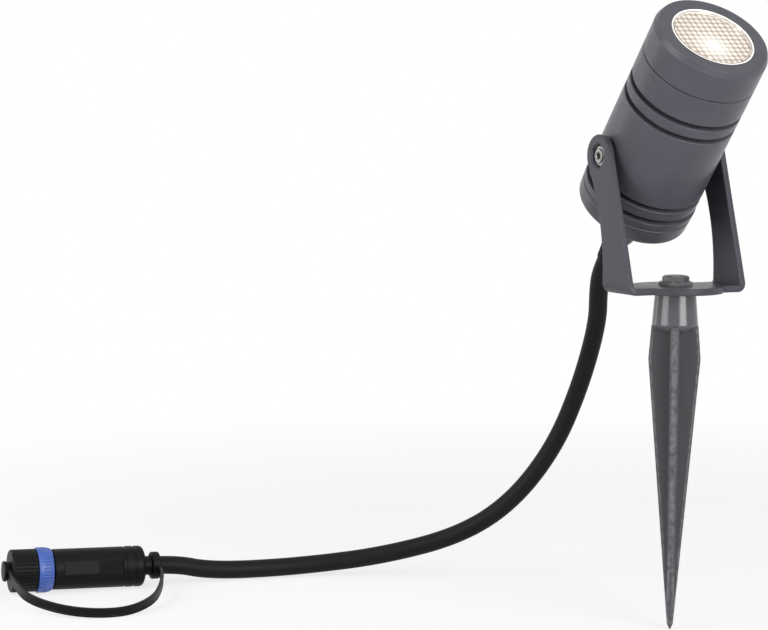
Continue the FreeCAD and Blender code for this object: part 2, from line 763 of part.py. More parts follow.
def relief_rib(level):
    """A ring groove in the tapered strain relief, 1.2 wide and 0.45 deep."""
    taper = "(relief_radius - relief_tip_radius) / (gland_nut_end - relief_end)"
    at_front = "relief_tip_radius + %s * (%s - relief_end)" % (taper, level)
    at_rear = "relief_tip_radius + %s * (%s - 1.2 - relief_end)" % (taper, level)
    return [
        (at_front, level),
        (at_front + " - 0.45", level + " - 0.2"),
        (at_rear + " - 0.45", level + " - 1"),
        (at_rear, level + " - 1.2"),
    ]


relief_outline = [
    ("cord_radius", "relief_start"),
    ("relief_radius", "relief_start"),
    ("relief_radius", "gland_nut_end - 0.6"),
]
for rib in range(4):
    relief_outline += relief_rib("gland_nut_end - %.1f" % (2.4 + 2.6 * rib))
relief_outline += [("relief_tip_radius", "relief_end"), ("cord_radius", "relief_end")]
node("strain_relief", turned(relief_outline), HEAD)
node("cord_tail", rod("XY_Plane", "cord_radius", "relief_end", "barrel_end + 4 - relief_end"), HEAD)

# ---- tilt screws and friction washers ----

washer_length = "bracket_width / 2 - plate_thick - tilt_flat - 0.05"
seat_level = "bracket_width / 2 - tilt_recess_depth + 0.05"
for side, name in ((-1, "left"), (1, "right")):
    screw = turned_along_x([
        ("%d * (rear_bore + 0.6)" % side, "0"),
        ("%d * (rear_bore + 0.6)" % side, "tilt_screw_radius"),
        ("%d * (%s)" % (side, seat_level), "tilt_screw_radius"),
        ("%d * (%s)" % (side, seat_level), "tilt_screw_head"),
        ("%d * (%s + 0.5)" % (side, seat_level), "tilt_screw_head"),
        ("%d * (%s + 0.5)" % (side, seat_level), "tilt_screw_head - 1"),
        ("%d * (%s + 0.8)" % (side, seat_level), "tilt_screw_head - 1"),
        ("%d * (%s + 1.1)" % (side, seat_level), "tilt_screw_head - 1.3"),
        ("%d * (%s + 1.1)" % (side, seat_level), "0"),
    ])
    key_start = seat_level + " + 0.3" if side > 0 else "-(%s) - 2.3" % seat_level
    key = hexagon("2.5", "2", x=key_start, turn=ALONG_X)
    node("tilt_screw_" + name, cut(screw, key), HEAD)
    washer_start = "tilt_flat" if side > 0 else "-tilt_flat - (%s)" % washer_length
    ring = cylinder("tilt_washer_radius", washer_length, x=washer_start, turn=ALONG_X)
    hole = cylinder("tilt_screw_radius + 0.02", "60", x="-30", turn=ALONG_X)
    node("tilt_washer_" + name, cut(ring, hole), HEAD)

# ---- plug ----

thread = []
for turn_number in range(3):
    start = "nose_end + %.1f" % (1.2 + 1.3 * turn_number)
    thread += [
        (start, "nose_radius"),
        (start + " + 0.3", "nose_radius - 0.35"),
        (start + " + 0.7", "nose_radius - 0.35"),
        (start + " + 1", "nose_radius"),
    ]
plug_body = turned_along_x(
    [("nose_end", "nose_bore"), ("nose_end", "nose_radius")]
    + thread
    + [
        ("ring_front - 3", "nose_radius"),
        ("ring_front - 3", "nose_radius - 0.7"),
        ("ring_front - 1.6", "nose_radius - 0.7"),
        ("ring_front - 1.6", "nose_radius"),
        ("0", "nose_radius"),
        ("0", "plug_radius - 0.6"),
        ("0.6", "plug_radius"),
        ("33", "plug_radius"),
        ("33.3", "plug_radius - 0.3"),
        ("34", "plug_radius - 0.3"),
        ("34.3", "plug_ridge_radius"),
        ("37.2", "plug_ridge_radius"),
        ("37.5", "plug_radius - 0.3"),
        ("38.2", "plug_radius - 0.3"),
        ("38.5", "plug_ridge_radius"),
        ("plug_length", "plug_ridge_radius"),
        ("plug_length", "neck_radius"),
        ("neck_end", "neck_radius"),
        ("neck_end", "0"),
        ("8", "0"),
        ("8", "nose_bore"),
    ])
soften(plug_body, "Fillet", "2.4", circle_edge("plug_ridge_radius", "plug_length", "x"))
carve(plug_body, "XZ_Plane", "plug_radius - 0.45", [("4", "-4"), ("32", "-4"), ("32", "4"), ("4", "4")],
      "2", outwards=True)
grip = carve(plug_body, "XZ_Plane", "plug_radius - 0.45",
             [("20.2", "-3.3"), ("20.9", "-3.3"), ("20.9", "3.3"), ("20.2", "3.3")], "0.35")
repeat_along(plug_body, grip, "10.8", 9)
node("plug_body", plug_body, PLUG * Placement(Vector(), Rotation(Vector(-1, 0, 0), size("grip_roll"))))

node("contact_insert", rod("YZ_Plane", "nose_bore - 0.02", "-12", "20"), PLUG)
for number, name in enumerate(("live", "neutral", "earth")):
    angle = math.radians(90 + 120 * number)
    pin = rod("YZ_Plane", "0.9", "-16.5", "4.5", "%.4f" % (3 * math.cos(angle)), "%.4f" % (3 * math.sin(angle)))
    node("contact_pin_" + name, pin, PLUG)
node("plug_seal", seal_ring("nose_radius - 0.28", "0.4", "ring_front - 2.3", "H_Axis"), PLUG)

locking_ring = turned_along_x([
    ("ring_front", "nose_radius + 0.06"),
    ("ring_front", "ring_radius - 0.3"),
    ("ring_front + 0.3", "ring_radius"),
    ("ring_front + 3.9", "ring_radius"),
    ("ring_front + 4.2", "ring_radius - 0.25"),
    ("ring_back - 0.3", "ring_radius - 0.7"),
    ("ring_back", "ring_radius - 1"),
    ("ring_back", "nose_radius + 0.06"),
])
rib_gap = carve(locking_ring, "YZ_Plane", "ring_front + 3.4",
                [("-0.35", "ring_radius + 0.1"), ("0", "ring_radius - 0.4"), ("0.35", "ring_radius + 0.1")], "2.6")
repeat_round(locking_ring, rib_gap, 40)
node("locking_ring", locking_ring, PLUG)

# ---- dust cap ----

dust_cap = turned_along_x([
    ("cap_back", "nose_radius + 0.3"),
    ("cap_back", "cap_radius - 0.3"),
    ("cap_back - 0.3", "cap_radius"),
    ("cap_front", "cap_radius"),
    ("cap_front", "0"),
    ("cap_front + cap_wall", "0"),
    ("cap_front + cap_wall", "nose_radius + 0.3"),
])
soften(dust_cap, "Fillet", "1", circle_edge("cap_radius", "cap_front", "x"))
knurl = carve(dust_cap, "YZ_Plane", "cap_back + 0.2",
              [("-0.45", "cap_radius + 0.15"), ("-0.15", "cap_radius - 0.4"), ("0.15", "cap_radius - 0.4"),
               ("0.45", "cap_radius + 0.15")], "10.2")
repeat_round(dust_cap, knurl, 36)
node("dust_cap", dust_cap, PLUG)
node("cap_seal", turned_along_x([
    ("cap_front + cap_wall", "5"),
    ("cap_front + cap_wall", "nose_radius + 0.1"),
    ("cap_front + cap_wall + 0.5", "nose_radius + 0.1"),
    ("cap_front + cap_wall + 0.5", "5"),
]), PLUG)
button = turned_along_x([
    ("cap_front", "0"),
    ("cap_front", "1.9"),
    ("cap_front - 1.8", "1.9"),
    ("cap_front - 1.8", "button_radius"),
    ("cap_front - 3.2", "button_radius"),
    ("cap_front - 3.2", "0"),
])
soften(button, "Fillet", "0.6", circle_edge("button_radius", "cap_front - 3.2", "x"))
node("cap_button", button, PLUG)

# ---- strap from the neck to the button ----

def strap_band():
    """A flat band swept along tangent arcs in one plane."""
    body = document.addObject("PartDesign::Body", "StrapBand")
    path = sketch_on(body, "XY_Plane")
    up = Vector(0, 0, 1)
    neck_bend, long_bend, cap_bend = size("strap_neck_bend"), size("strap_long_bend"), size("strap_cap_bend")
    neck_x, cap_x, rise = size("strap_ring_end"), size("strap_eye_end"), size("strap_rise")
    neck_centre = Vector(neck_x - neck_bend, rise, 0)
    long_centre = neck_centre + Vector(0, neck_bend - long_bend, 0)
    cap_centre_x = cap_x + cap_bend
    sweep = math.acos((cap_centre_x - long_centre.x) / (long_bend - cap_bend))
    cap_centre = long_centre + Vector(math.cos(sweep), math.sin(sweep), 0) * (long_bend - cap_bend)
    neck_line, neck_arc, long_arc, cap_arc, cap_line = path.addGeometry([
        Part.LineSegment(Vector(neck_x, 5.6, 0), Vector(neck_x, rise, 0)),
        Part.ArcOfCircle(Part.Circle(neck_centre, up, neck_bend), 0, math.pi / 2),
        Part.ArcOfCircle(Part.Circle(long_centre, up, long_bend), math.pi / 2, sweep),
        Part.ArcOfCircle(Part.Circle(cap_centre, up, cap_bend), sweep, math.pi),
        Part.LineSegment(Vector(cap_x, cap_centre.y, 0), Vector(cap_x, 3, 0)),
    ], False)
    for constraint in (
            ("Vertical", neck_line),
            ("Tangent", neck_line, 2, neck_arc, 1),
            ("Tangent", neck_arc, 2, long_arc, 1),
            ("Tangent", long_arc, 2, cap_arc, 1),
            ("Tangent", cap_arc, 2, cap_line, 1),
            ("Vertical", cap_line)):
        path.addConstraint(Sketcher.Constraint(*constraint))
    hold(path, neck_line, 1, "strap_ring_end", "5.6")
    hold(path, neck_line, 2, None, "strap_rise")
    hold(path, neck_arc, 2, "strap_ring_end - strap_neck_bend")
    hold(path, cap_line, 2, "strap_eye_end", "3")
    for arc, alias in ((neck_arc, "strap_neck_bend"), (long_arc, "strap_long_bend"), (cap_arc, "strap_cap_bend")):
        radius = path.addConstraint(Sketcher.Constraint("Radius", arc, size(alias)))
        path.setExpression("Constraints[%d]" % radius, bound(alias))
    section = sketch_on(body, "XZ_Plane", "-5.6")
    polygon(section, [
        ("strap_ring_end - strap_thick / 2", "-strap_width / 2"),
        ("strap_ring_end + strap_thick / 2", "-strap_width / 2"),
        ("strap_ring_end + strap_thick / 2", "strap_width / 2"),
        ("strap_ring_end - strap_thick / 2", "strap_width / 2"),
    ])
    pipe = body.newObject("PartDesign::AdditivePipe", "Band")
    pipe.Profile = section
    pipe.Spine = (path, ["Edge%d" % number for number in range(1, 6)])
    return body


neck_loop = turned_along_x([
    ("strap_ring_end - 3", "neck_radius + 0.35"),
    ("strap_ring_end - 3", "neck_radius + 1.3"),
    ("strap_ring_end - 2.4", "neck_radius + 1.9"),
    ("strap_ring_end + 0.2", "neck_radius + 1.9"),
    ("strap_ring_end + 0.8", "neck_radius + 1.3"),
    ("strap_ring_end + 0.8", "neck_radius + 0.35"),
])
button_eye = turned_along_x([
    ("strap_eye_end - strap_thick / 2", "2.25"),
    ("strap_eye_end - strap_thick / 2", "4.2"),
    ("strap_eye_end + strap_thick / 2", "4.2"),
    ("strap_eye_end + strap_thick / 2", "2.25"),
])
node("cap_strap", fuse(strap_band(), neck_loop, button_eye), STRAP)

# ---- cord ----

def rounded_route(corners):
    """Straight runs joined by tangent arcs, each arc as large as its two runs allow."""
    edges = []
    radii = []
    start = corners[0]
    for before, corner, after in zip(corners, corners[1:], corners[2:]):
        back = before - corner
        ahead = after - corner
        turn = math.pi - back.getAngle(ahead)
        reach = 0.45 * min(back.Length, ahead.Length)
        radii.append(reach / math.tan(turn / 2))
        entry = corner + back.normalize() * reach
        leave = corner + ahead.normalize() * reach
        inward = (back + ahead).normalize()
        middle = corner + inward * (radii[-1] / math.cos(turn / 2) - radii[-1])
        edges.append(Part.LineSegment(start, entry).toShape())
        edges.append(Part.Arc(entry, middle, leave).toShape())
        start = leave
    edges.append(Part.LineSegment(start, corners[-1]).toShape())
    return Part.Wire(edges), radii


relief_tip = HEAD.multVec(Vector(0, 0, size("relief_end")))
neck_tip = PLUG.multVec(Vector(size("neck_end"), 0, 0))
route_corners = [relief_tip] + [Vector(*corner) for corner in CORD_CORNERS] + [neck_tip]
route, bend_radii = rounded_route(route_corners)
section = Part.Wire(Part.makeCircle(size("cord_radius"), relief_tip, route_corners[1] - relief_tip))
cord = document.addObject("Part::Feature", "Cord")
cord.Shape = route.makePipeShell([section], True, False)
node("supply_cord", cord, GROUND)
section_area = math.pi * size("cord_radius") ** 2
print("cord length %.1f, volume over section times length %.4f"
      % (route.Length, cord.Shape.Volume / (section_area * route.Length)))
print("cord bend radii " + ", ".join("%.0f" % radius for radius in bend_radii))

# ---- check and write ----

document.recompute()
for item in document.Objects:
    if "Invalid" in item.State or "Error" in item.State:
        raise RuntimeError("%s (%s) failed: %s" % (item.Name, item.Label, item.State))
os.makedirs("parts", exist_ok=True)
for name, item in nodes.items():
    shape = item.Shape
    if shape.isNull() or not shape.isValid() or len(shape.Solids) != 1:
        raise RuntimeError("%s is not one valid solid" % name)
    shape.exportStep("parts/%s.step" % name)
    print("%-20s %9.1f mm3" % (name, shape.Volume))
print("%d nodes" % len(nodes))
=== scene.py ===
import json
import math

import bmesh
import bpy
from mathutils import Matrix, Vector


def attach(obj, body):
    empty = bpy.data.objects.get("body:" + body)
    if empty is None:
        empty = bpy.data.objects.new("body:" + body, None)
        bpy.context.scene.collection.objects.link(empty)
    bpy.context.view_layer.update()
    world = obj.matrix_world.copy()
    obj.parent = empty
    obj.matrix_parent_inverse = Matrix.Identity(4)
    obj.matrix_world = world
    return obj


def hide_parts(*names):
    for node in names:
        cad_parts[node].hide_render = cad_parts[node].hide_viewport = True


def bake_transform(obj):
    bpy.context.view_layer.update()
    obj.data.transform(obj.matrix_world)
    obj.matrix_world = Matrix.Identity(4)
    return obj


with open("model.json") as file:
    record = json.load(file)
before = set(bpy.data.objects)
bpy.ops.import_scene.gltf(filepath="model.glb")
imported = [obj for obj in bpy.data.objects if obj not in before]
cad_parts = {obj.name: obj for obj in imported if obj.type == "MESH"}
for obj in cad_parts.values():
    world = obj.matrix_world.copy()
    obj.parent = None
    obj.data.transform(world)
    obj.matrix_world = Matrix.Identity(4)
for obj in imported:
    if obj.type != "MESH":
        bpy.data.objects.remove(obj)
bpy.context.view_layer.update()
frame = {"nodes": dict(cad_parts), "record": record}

# Sizes are in millimetres and scaled to metres when a mesh is made.
MM = 0.001
nodes = frame["nodes"]
scene = bpy.context.scene


def turn(degrees, axis):
    """A rotation about an axis through the origin."""
    return Matrix.Rotation(math.radians(degrees), 4, axis)


# ---- frames of the lamp's groups, as in the solids ----

TILT_REST = 40
BLADE_TURN = 57.2
PIVOT = Vector((0, 16.9, 71.4))
PLUG_ZERO = Vector((-218.2, 180.6, -120.71))
PLUG_HEADING = -6
PLUG_DIP = 1.25
GRIP_ROLL = 11.5
STRAP_DROP = 7.22

GROUND = Matrix.Identity(4)
SPIKE = turn(BLADE_TURN, "Z")
HEAD = Matrix.Translation(PIVOT) @ turn(TILT_REST, "X")
PLUG = Matrix.Translation(PLUG_ZERO) @ turn(PLUG_HEADING, "Z") @ turn(PLUG_DIP, "Y")
GRIP = PLUG @ turn(-GRIP_ROLL, "X")
STRAP = PLUG @ turn(180 + STRAP_DROP, "X")

# ---- camera ----

camera_data = bpy.data.cameras.new("camera")
camera = bpy.data.objects.new("camera", camera_data)
scene.collection.objects.link(camera)
camera_data.sensor_fit = "HORIZONTAL"
camera_data.sensor_width = 36
camera_data.lens = 110.08
camera_data.clip_start = 0.05
camera_data.clip_end = 50
camera_place = Vector((-541.19, -839.79, 97.21))
right = Vector((0.90129, -0.43317, 0.00582)).normalized()
forward = Vector((0.43175, 0.89708, -0.09398)).normalized()
up = right.cross(forward)
camera.matrix_world = Matrix.Translation(camera_place * MM) @ Matrix((right, up, -forward)).transposed().to_4x4()
scene.camera = camera


# ---- meshes ----

# In metres: points closer than the first are merged, and edges shorter than the second are dissolved.
SAME_POINT = 2e-7
SHORTEST_EDGE = 1e-7


class Form:
    """Points in millimetres and faces, gathered before they become a piece."""

    def __init__(self):
        self.points = []
        self.faces = []

    def add(self, points, faces):
        """Take in points and the faces between them."""
        start = len(self.points)
        self.points += [Vector(point) for point in points]
        self.faces += [tuple(start + corner for corner in face) for face in faces]
        return self


def make_piece(name, form, place, sharp=35):
    """A smooth-shaded piece from a form in a group's frame."""
    mesh = bpy.data.meshes.new(name)
    mesh.from_pydata([(place @ point) * MM for point in form.points], [], form.faces)
    work = bmesh.new()
    work.from_mesh(mesh)
    bmesh.ops.remove_doubles(work, verts=work.verts, dist=SAME_POINT)
    bmesh.ops.dissolve_degenerate(work, edges=work.edges, dist=SHORTEST_EDGE)
    bmesh.ops.recalc_face_normals(work, faces=work.faces)
    work.to_mesh(mesh)
    work.free()
    piece = bpy.data.objects.new(name, mesh)
    scene.collection.objects.link(piece)
    shade(piece, sharp)
    return piece


def shade(piece, sharp=35):
    """Smooth shading that keeps flat faces flat beside their rounded edges."""
    piece.data.shade_smooth()
    piece.data.set_sharp_from_angle(angle=math.radians(sharp))
    weighted = piece.modifiers.new("normals", "WEIGHTED_NORMAL")
    weighted.keep_sharp = True
    apply_modifiers(piece)


def apply_modifiers(piece):
    """Turn what a piece's modifiers give into its mesh."""
    bpy.context.view_layer.update()
    done = bpy.data.meshes.new_from_object(piece.evaluated_get(bpy.context.evaluated_depsgraph_get()))
    old = piece.data
    piece.modifiers.clear()
    piece.data = done
    done.name = old.name
    bpy.data.meshes.remove(old)


def round_corners(corners, closed, steps=5):
    """An outline whose corners (across, up, rounding) are turned into arcs."""
    result = []
    count = len(corners)
    for index, corner in enumerate(corners):
        here = Vector(corner[:2])
        rounding = corner[2] if len(corner) > 2 else 0
        if not rounding or (not closed and index in (0, count - 1)):
            result.append(here)
            continue
        back = Vector(corners[index - 1][:2]) - here
        ahead = Vector(corners[(index + 1) % count][:2]) - here
        half = back.angle(ahead) / 2
        reach = min(rounding / math.tan(half), 0.49 * back.length, 0.49 * ahead.length)
        radius = reach * math.tan(half)
        centre = here + (back.normalized() + ahead.normalized()).normalized() * (radius / math.sin(half))
        first = here + back.normalized() * reach - centre
        last = here + ahead.normalized() * reach - centre
        whole = first.angle(last)
        for step in range(steps + 1):
            part = step / steps
            result.append(centre + (first * math.sin((1 - part) * whole) + last * math.sin(part * whole))
                          / math.sin(whole))
    return result


def spin(corners, about="Z", closed=False, sides=192, shape=None, steps=5):
    """A turned form from corners (radius, level, rounding); shape moves its points."""
    outline = round_corners(corners, closed, steps)
    points = []
    for side in range(sides):
        angle = 2 * math.pi * side / sides
        for radius, level in outline:
            if shape:
                radius, level = shape(angle, radius, level)
            across, over = radius * math.cos(angle), radius * math.sin(angle)
            points.append((level, across, over) if about == "X" else (across, over, level))
    count = len(outline)
    faces = []
    for side in range(sides):
        here = side * count
        beside = (side + 1) % sides * count
        for index in range(count if closed else count - 1):
            after = (index + 1) % count
            faces.append((here + index, here + after, beside + after, beside + index))
    return points, faces


def loft(rows):
    """A closed skin through rows with as many points each, and a face over both ends."""
    count = len(rows[0])
    points = [point for row in rows for point in row]
    faces = []
    for start in range(0, len(points) - count, count):
        for here in range(count):
            after = (here + 1) % count
            faces.append((start + here, start + after, start + count + after, start + count + here))
    faces += [tuple(range(count)), tuple(range(len(points) - count, len(points)))]
    return points, faces


def hexagon(flats, phase=0):
    """Keep a turned form inside a hexagon."""
    def shape(angle, radius, level):
        inside = (math.degrees(angle) + phase) % 60 - 30
        return min(radius, flats / 2 / math.cos(math.radians(inside))), level
    return shape


def boolean(piece, cutter):
    """Cut one piece from another."""
    modifier = piece.modifiers.new("cut", "BOOLEAN")
    modifier.operation = "DIFFERENCE"
    modifier.solver = "EXACT"
    modifier.object = cutter
    apply_modifiers(piece)
    bpy.data.objects.remove(cutter)


# ---- cord ----

CORD_RADIUS = 4.2
CORD_POINTS = [
    HEAD @ Vector((0, 0, -61)),
    (0, 61.2, 18.6),
    (2.2, 67, 9.9),
    (7.3, 75.8, -6.3),
    (8.1, 91.4, -36.1),
    (1, 102.6, -66.6),
    (-14.9, 113.9, -93),
    (-34.1, 129.6, -110.2),
    (-63.3, 151.6, -121.4),
    (-96.2, 165.8, -126),
    (-128, 171, -126.6),
    (-147, 173.2, -125.2),
    (-158.5, 174.35, -122.2),
    PLUG @ Vector((50, 0, 0)),
]


def spline_line(name, points, resolution):
    """Points in metres along the smooth line that the route's points control."""
    data = bpy.data.curves.new(name, "CURVE")
    data.dimensions = "3D"
    data.resolution_u = resolution
    spline = data.splines.new("NURBS")
    spline.points.add(len(points) - 1)
    for control, point in zip(spline.points, points):
        control.co = (*(Vector(point) * MM), 1)
    spline.order_u = 3
    spline.use_endpoint_u = True
    holder = bpy.data.objects.new(name, data)
    scene.collection.objects.link(holder)
    line = bpy.data.meshes.new_from_object(holder)
    result = [vertex.co.copy() for vertex in line.vertices]
    bpy.data.meshes.remove(line)
    bpy.data.objects.remove(holder)
    bpy.data.curves.remove(data)
    return result


def tube(line, radius, sides):
    """A round tube along points in metres, with closed ends."""
    rows = []
    side = None
    for index, here in enumerate(line):
        before = line[max(index - 1, 0)]
        after = line[min(index + 1, len(line) - 1)]
        ahead = (after - before).normalized()
        if side is None:
            side = ahead.orthogonal().normalized()
        side = (side - ahead * side.dot(ahead)).normalized()
        other = ahead.cross(side)
        angles = [2 * math.pi * step / sides for step in range(sides)]
        rows.append([here / MM + (side * math.cos(angle) + other * math.sin(angle)) * radius for angle in angles])
    return loft(rows)


cord_line = spline_line("cord_line", CORD_POINTS, 16)
cord = make_piece("cord", Form().add(*tube(cord_line, CORD_RADIUS, 48)), GROUND)

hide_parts("supply_cord")
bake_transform(cord)

# ---- pieces ----

dressed = []


def dress(piece, slot, body, *replaced):
    """Hide the nodes a piece stands for, attach it to what it moves with, and keep its finish's slot."""
    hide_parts(*replaced)
    if body:
        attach(piece, body)
    dressed.append((piece, slot))


dressed.append((cord, "cord_rubber"))

# Head: barrel with its cooling grooves

BARREL_RADIUS = 25
GROOVE_RADIUS = 21.6
GROOVE_WIDTH = 2.3
GROOVE_TOPS = (37.4, 30.5, -8.6)

barrel_outline = [(3, 27), (3, 39.9), (20.2, 39.9), (20.2, 57.8), (22.5, 57.8), (22.5, 50.1),
                  (BARREL_RADIUS, 50.1, 0.35)]
for top in GROOVE_TOPS:
    bottom = top - GROOVE_WIDTH
    barrel_outline += [(BARREL_RADIUS, top, 0.4), (GROOVE_RADIUS, top, 0.3),
                       (GROOVE_RADIUS, bottom, 0.3), (BARREL_RADIUS, bottom, 0.4)]
barrel_outline += [(BARREL_RADIUS, -15.4, 0.4), (GROOVE_RADIUS, -15.4, 0.3), (GROOVE_RADIUS, -17.5), (18.5, -17.5),
                   (18.5, 27)]
barrel = Form().add(*spin(barrel_outline, closed=True))
dress(make_piece("barrel", barrel, HEAD), "lamp_coat", "head", "head_barrel")

bezel = Form().add(*spin(
    [(18.2, 63), (18.2, 65.2, 0.15), (23.8, 65.2, 0.35), (BARREL_RADIUS, 62.7, 0.6), (BARREL_RADIUS, 50.45, 0.35),
     (22.6, 50.45), (22.6, 58), (21.6, 58), (21.6, 63)], closed=True))
dress(make_piece("bezel", bezel, HEAD), "lamp_coat", "head", "front_bezel")

rear_cap = Form().add(*spin(
    [(18.3, -13.4), (18.3, -17.7), (25.3, -17.7, 0.35), (25.3, -20.8, 0.3), (24.8, -21.1, 0.1), (24.8, -21.5, 0.1),
     (25.2, -21.8, 0.3), (24.8, -29.8, 2.4), (6.05, -29.8), (6.05, -23.8), (4.5, -23.8), (4.5, -13.4)],
    closed=True, steps=8))
dress(make_piece("rear_cap_shell", rear_cap, HEAD), "lamp_coat", "head", "rear_cap")

# Head: front glass and pillow lens

glass = Form().add(*spin([(0, 63.35), (17.22, 63.35), (17.22, 64.95, 0.3), (0, 64.95)], steps=4))
dress(make_piece("glass_pane", glass, HEAD), "front_glass", "head", "front_glass")

CELL = 2.65
PILLOW_HEIGHT = 0.62
FIELD_RADIUS = 17.1
FIELD_LEVEL = 62.6
FIELD_STEP = 0.15


def pillow(across, over):
    """Height of the lens's pillows over a point."""
    half_across = (across / CELL) % 1 - 0.5
    half_over = (over / CELL) % 1 - 0.5
    return PILLOW_HEIGHT * (1 - 2 * half_across ** 2 - 2 * half_over ** 2)


def lens_front(angle, radius, level):
    """Raise the lens's field into pillows."""
    if level == FIELD_LEVEL and radius < FIELD_RADIUS:
        level += pillow(radius * math.cos(angle), radius * math.sin(angle))
    return radius, level


field = [(FIELD_RADIUS - FIELD_STEP * step, FIELD_LEVEL) for step in range(round(FIELD_RADIUS / FIELD_STEP))]
field.append((0, FIELD_LEVEL))
lens = Form().add(*spin([(0, 57.9), (21.3, 57.9), (21.3, 62.4), (18.1, 62.4), (18.1, 65.1, 0.35), (17.3, 65.05, 0.3),
                         (17.3, 62.75, 0.2)] + field, sides=288, shape=lens_front))
dress(make_piece("pillow_optic", lens, HEAD, sharp=60), "lens_clear", "head", "pillow_lens")

# Gland and strain relief

gland = Form().add(*spin(
    [(4.3, -24), (6, -24), (6, -29.8), (9.3, -29.8, 0.3), (9.9, -30.4, 0.3), (9.9, -32.9, 0.3), (9.3, -33.5, 0.3),
     (6.6, -33.5), (6.6, -40), (5.6, -40), (5.6, -36), (4.3, -36)], closed=True, shape=hexagon(17)))
dress(make_piece("gland_hexagon", gland, HEAD), "gland_nylon", "head", "gland_body")

nut = Form().add(*spin(
    [(6.7, -33.9), (7.6, -33.9, 0.2), (8.5, -34.6, 0.3), (8.5, -41, 0.5), (6.9, -45.9, 0.6), (6.3, -47.5, 0.5),
     (5.75, -47.5), (5.75, -40.8), (6.7, -40.8)], closed=True, shape=hexagon(15)))
dress(make_piece("gland_cap", nut, HEAD), "gland_nylon", "head", "gland_nut")

# The strain relief's ribs, and its outer radius from its mouth upwards
RIB_PITCH = 2.6
FIRST_RIB = -49.9
RELIEF_END = -61
RELIEF_RADIUS = 4.75
RELIEF_TAPER = 0.95 / 13.5
relief = [(4.2, -41.2), (5.7, -41.2), (5.7, -48.4)]
for rib in range(4):
    level = FIRST_RIB - RIB_PITCH * rib
    front = RELIEF_RADIUS + RELIEF_TAPER * (level - RELIEF_END)
    relief += [(front, level, 0.2), (front - 0.5, level - 0.2, 0.1), (front - 0.55, level - 1, 0.1),
               (front - 0.08, level - 1.2, 0.2)]
relief += [(RELIEF_RADIUS, RELIEF_END, 0.4), (4.2, RELIEF_END)]
relief_form = Form().add(*spin(relief, closed=True, sides=96))
dress(make_piece("relief_sleeve", relief_form, HEAD), "relief_rubber", "head", "strain_relief")

# Tilt screws: a hexagon flange and a domed head with a hexagon socket


def eased_hexagon(angle, apothem, corner):
    """Radius of a hexagon at an angle, with corners that reach no further than a share of its apothem."""
    inside = (math.degrees(angle) + 30) % 60 - 30
    return min(apothem / math.cos(math.radians(inside)), apothem * corner)


def screw_shape(angle, radius, level):
    """A hexagon socket in the middle and a hexagon flange round a domed head."""
    if radius < 1.5:
        return hexagon(2.5)(angle, radius, level)
    if radius > 3.4:
        radius = eased_hexagon(angle, radius, 1.09)
    return radius, level


for side, name in ((-1, "left"), (1, "right")):
    screw = Form().add(*spin(
        [(0, side * 27.7), (1.443, side * 27.7), (1.443, side * 28.7), (1.75, side * 28.95),
         (3.15, side * 28.85, 0.7), (3.15, side * 28.25, 0.1), (4.15, side * 28.2, 0.25), (4.15, side * 27.4),
         (2.5, side * 27.4), (2.5, side * 19), (0, side * 19)], about="X", sides=144, shape=screw_shape))
    dress(make_piece("pivot_screw_" + name, screw, HEAD), "screw_steel", "head", "tilt_screw_" + name)

# Bracket: one bent sheet with rounded edges, and its round seat

SHEET = 3
EDGE = 0.75
END_RADIUS = 9.1
# The middle of the sheet: the base's level, half its straight length, the bends' radius, the arms' distance from
# the axis, the level where a bend ends and the steps up an arm
BASE_MIDDLE = 15.5
BASE_HALF = 25.25
BEND = 2.5
MIDDLE = 27.75
BEND_TOP = 18
ARM_STEP = 1.9
ARM_STEPS = 28
# What is left out at an arm's very top, so that its end keeps an area
TOP_GAP = 0.002
# The arms' edges: the plate's underside, where the rear edge starts to curve, and both edges at the foot
FOOT, REAR_TOP = 14, 21
FRONT_FOOT, REAR_FOOT = -10.6, 11.7


def arm_edges(height):
    """Front and rear edges of the bracket at a height."""
    pivot = Vector((PIVOT.y, PIVOT.z))
    front = Vector((FRONT_FOOT, FOOT))
    to_pivot = pivot - front
    lean = math.atan2(to_pivot.y, to_pivot.x) + math.asin(END_RADIUS / to_pivot.length)
    reach = math.sqrt(to_pivot.length ** 2 - END_RADIUS ** 2)
    touch = front + Vector((math.cos(lean), math.sin(lean))) * reach
    if height < touch.y:
        front_edge = FRONT_FOOT + (height - FOOT) / math.tan(lean)
    else:
        front_edge = pivot.x - math.sqrt(max(END_RADIUS ** 2 - (height - pivot.y) ** 2, 0))
    inset = REAR_FOOT - pivot.x
    rise = pivot.y - REAR_TOP
    bend = (inset ** 2 + rise ** 2 - END_RADIUS ** 2) / (2 * (END_RADIUS - inset))
    centre = Vector((REAR_FOOT + bend, REAR_TOP))
    to_centre = centre - pivot
    join = pivot + to_centre.normalized() * END_RADIUS
    if height < REAR_TOP:
        rear_edge = REAR_FOOT
    elif height < join.y or join.x < pivot.x and height < pivot.y:
        rear_edge = centre.x - math.sqrt(max(bend ** 2 - (height - centre.y) ** 2, 0))
    else:
        rear_edge = pivot.x + math.sqrt(max(END_RADIUS ** 2 - (height - pivot.y) ** 2, 0))
    return front_edge, rear_edge


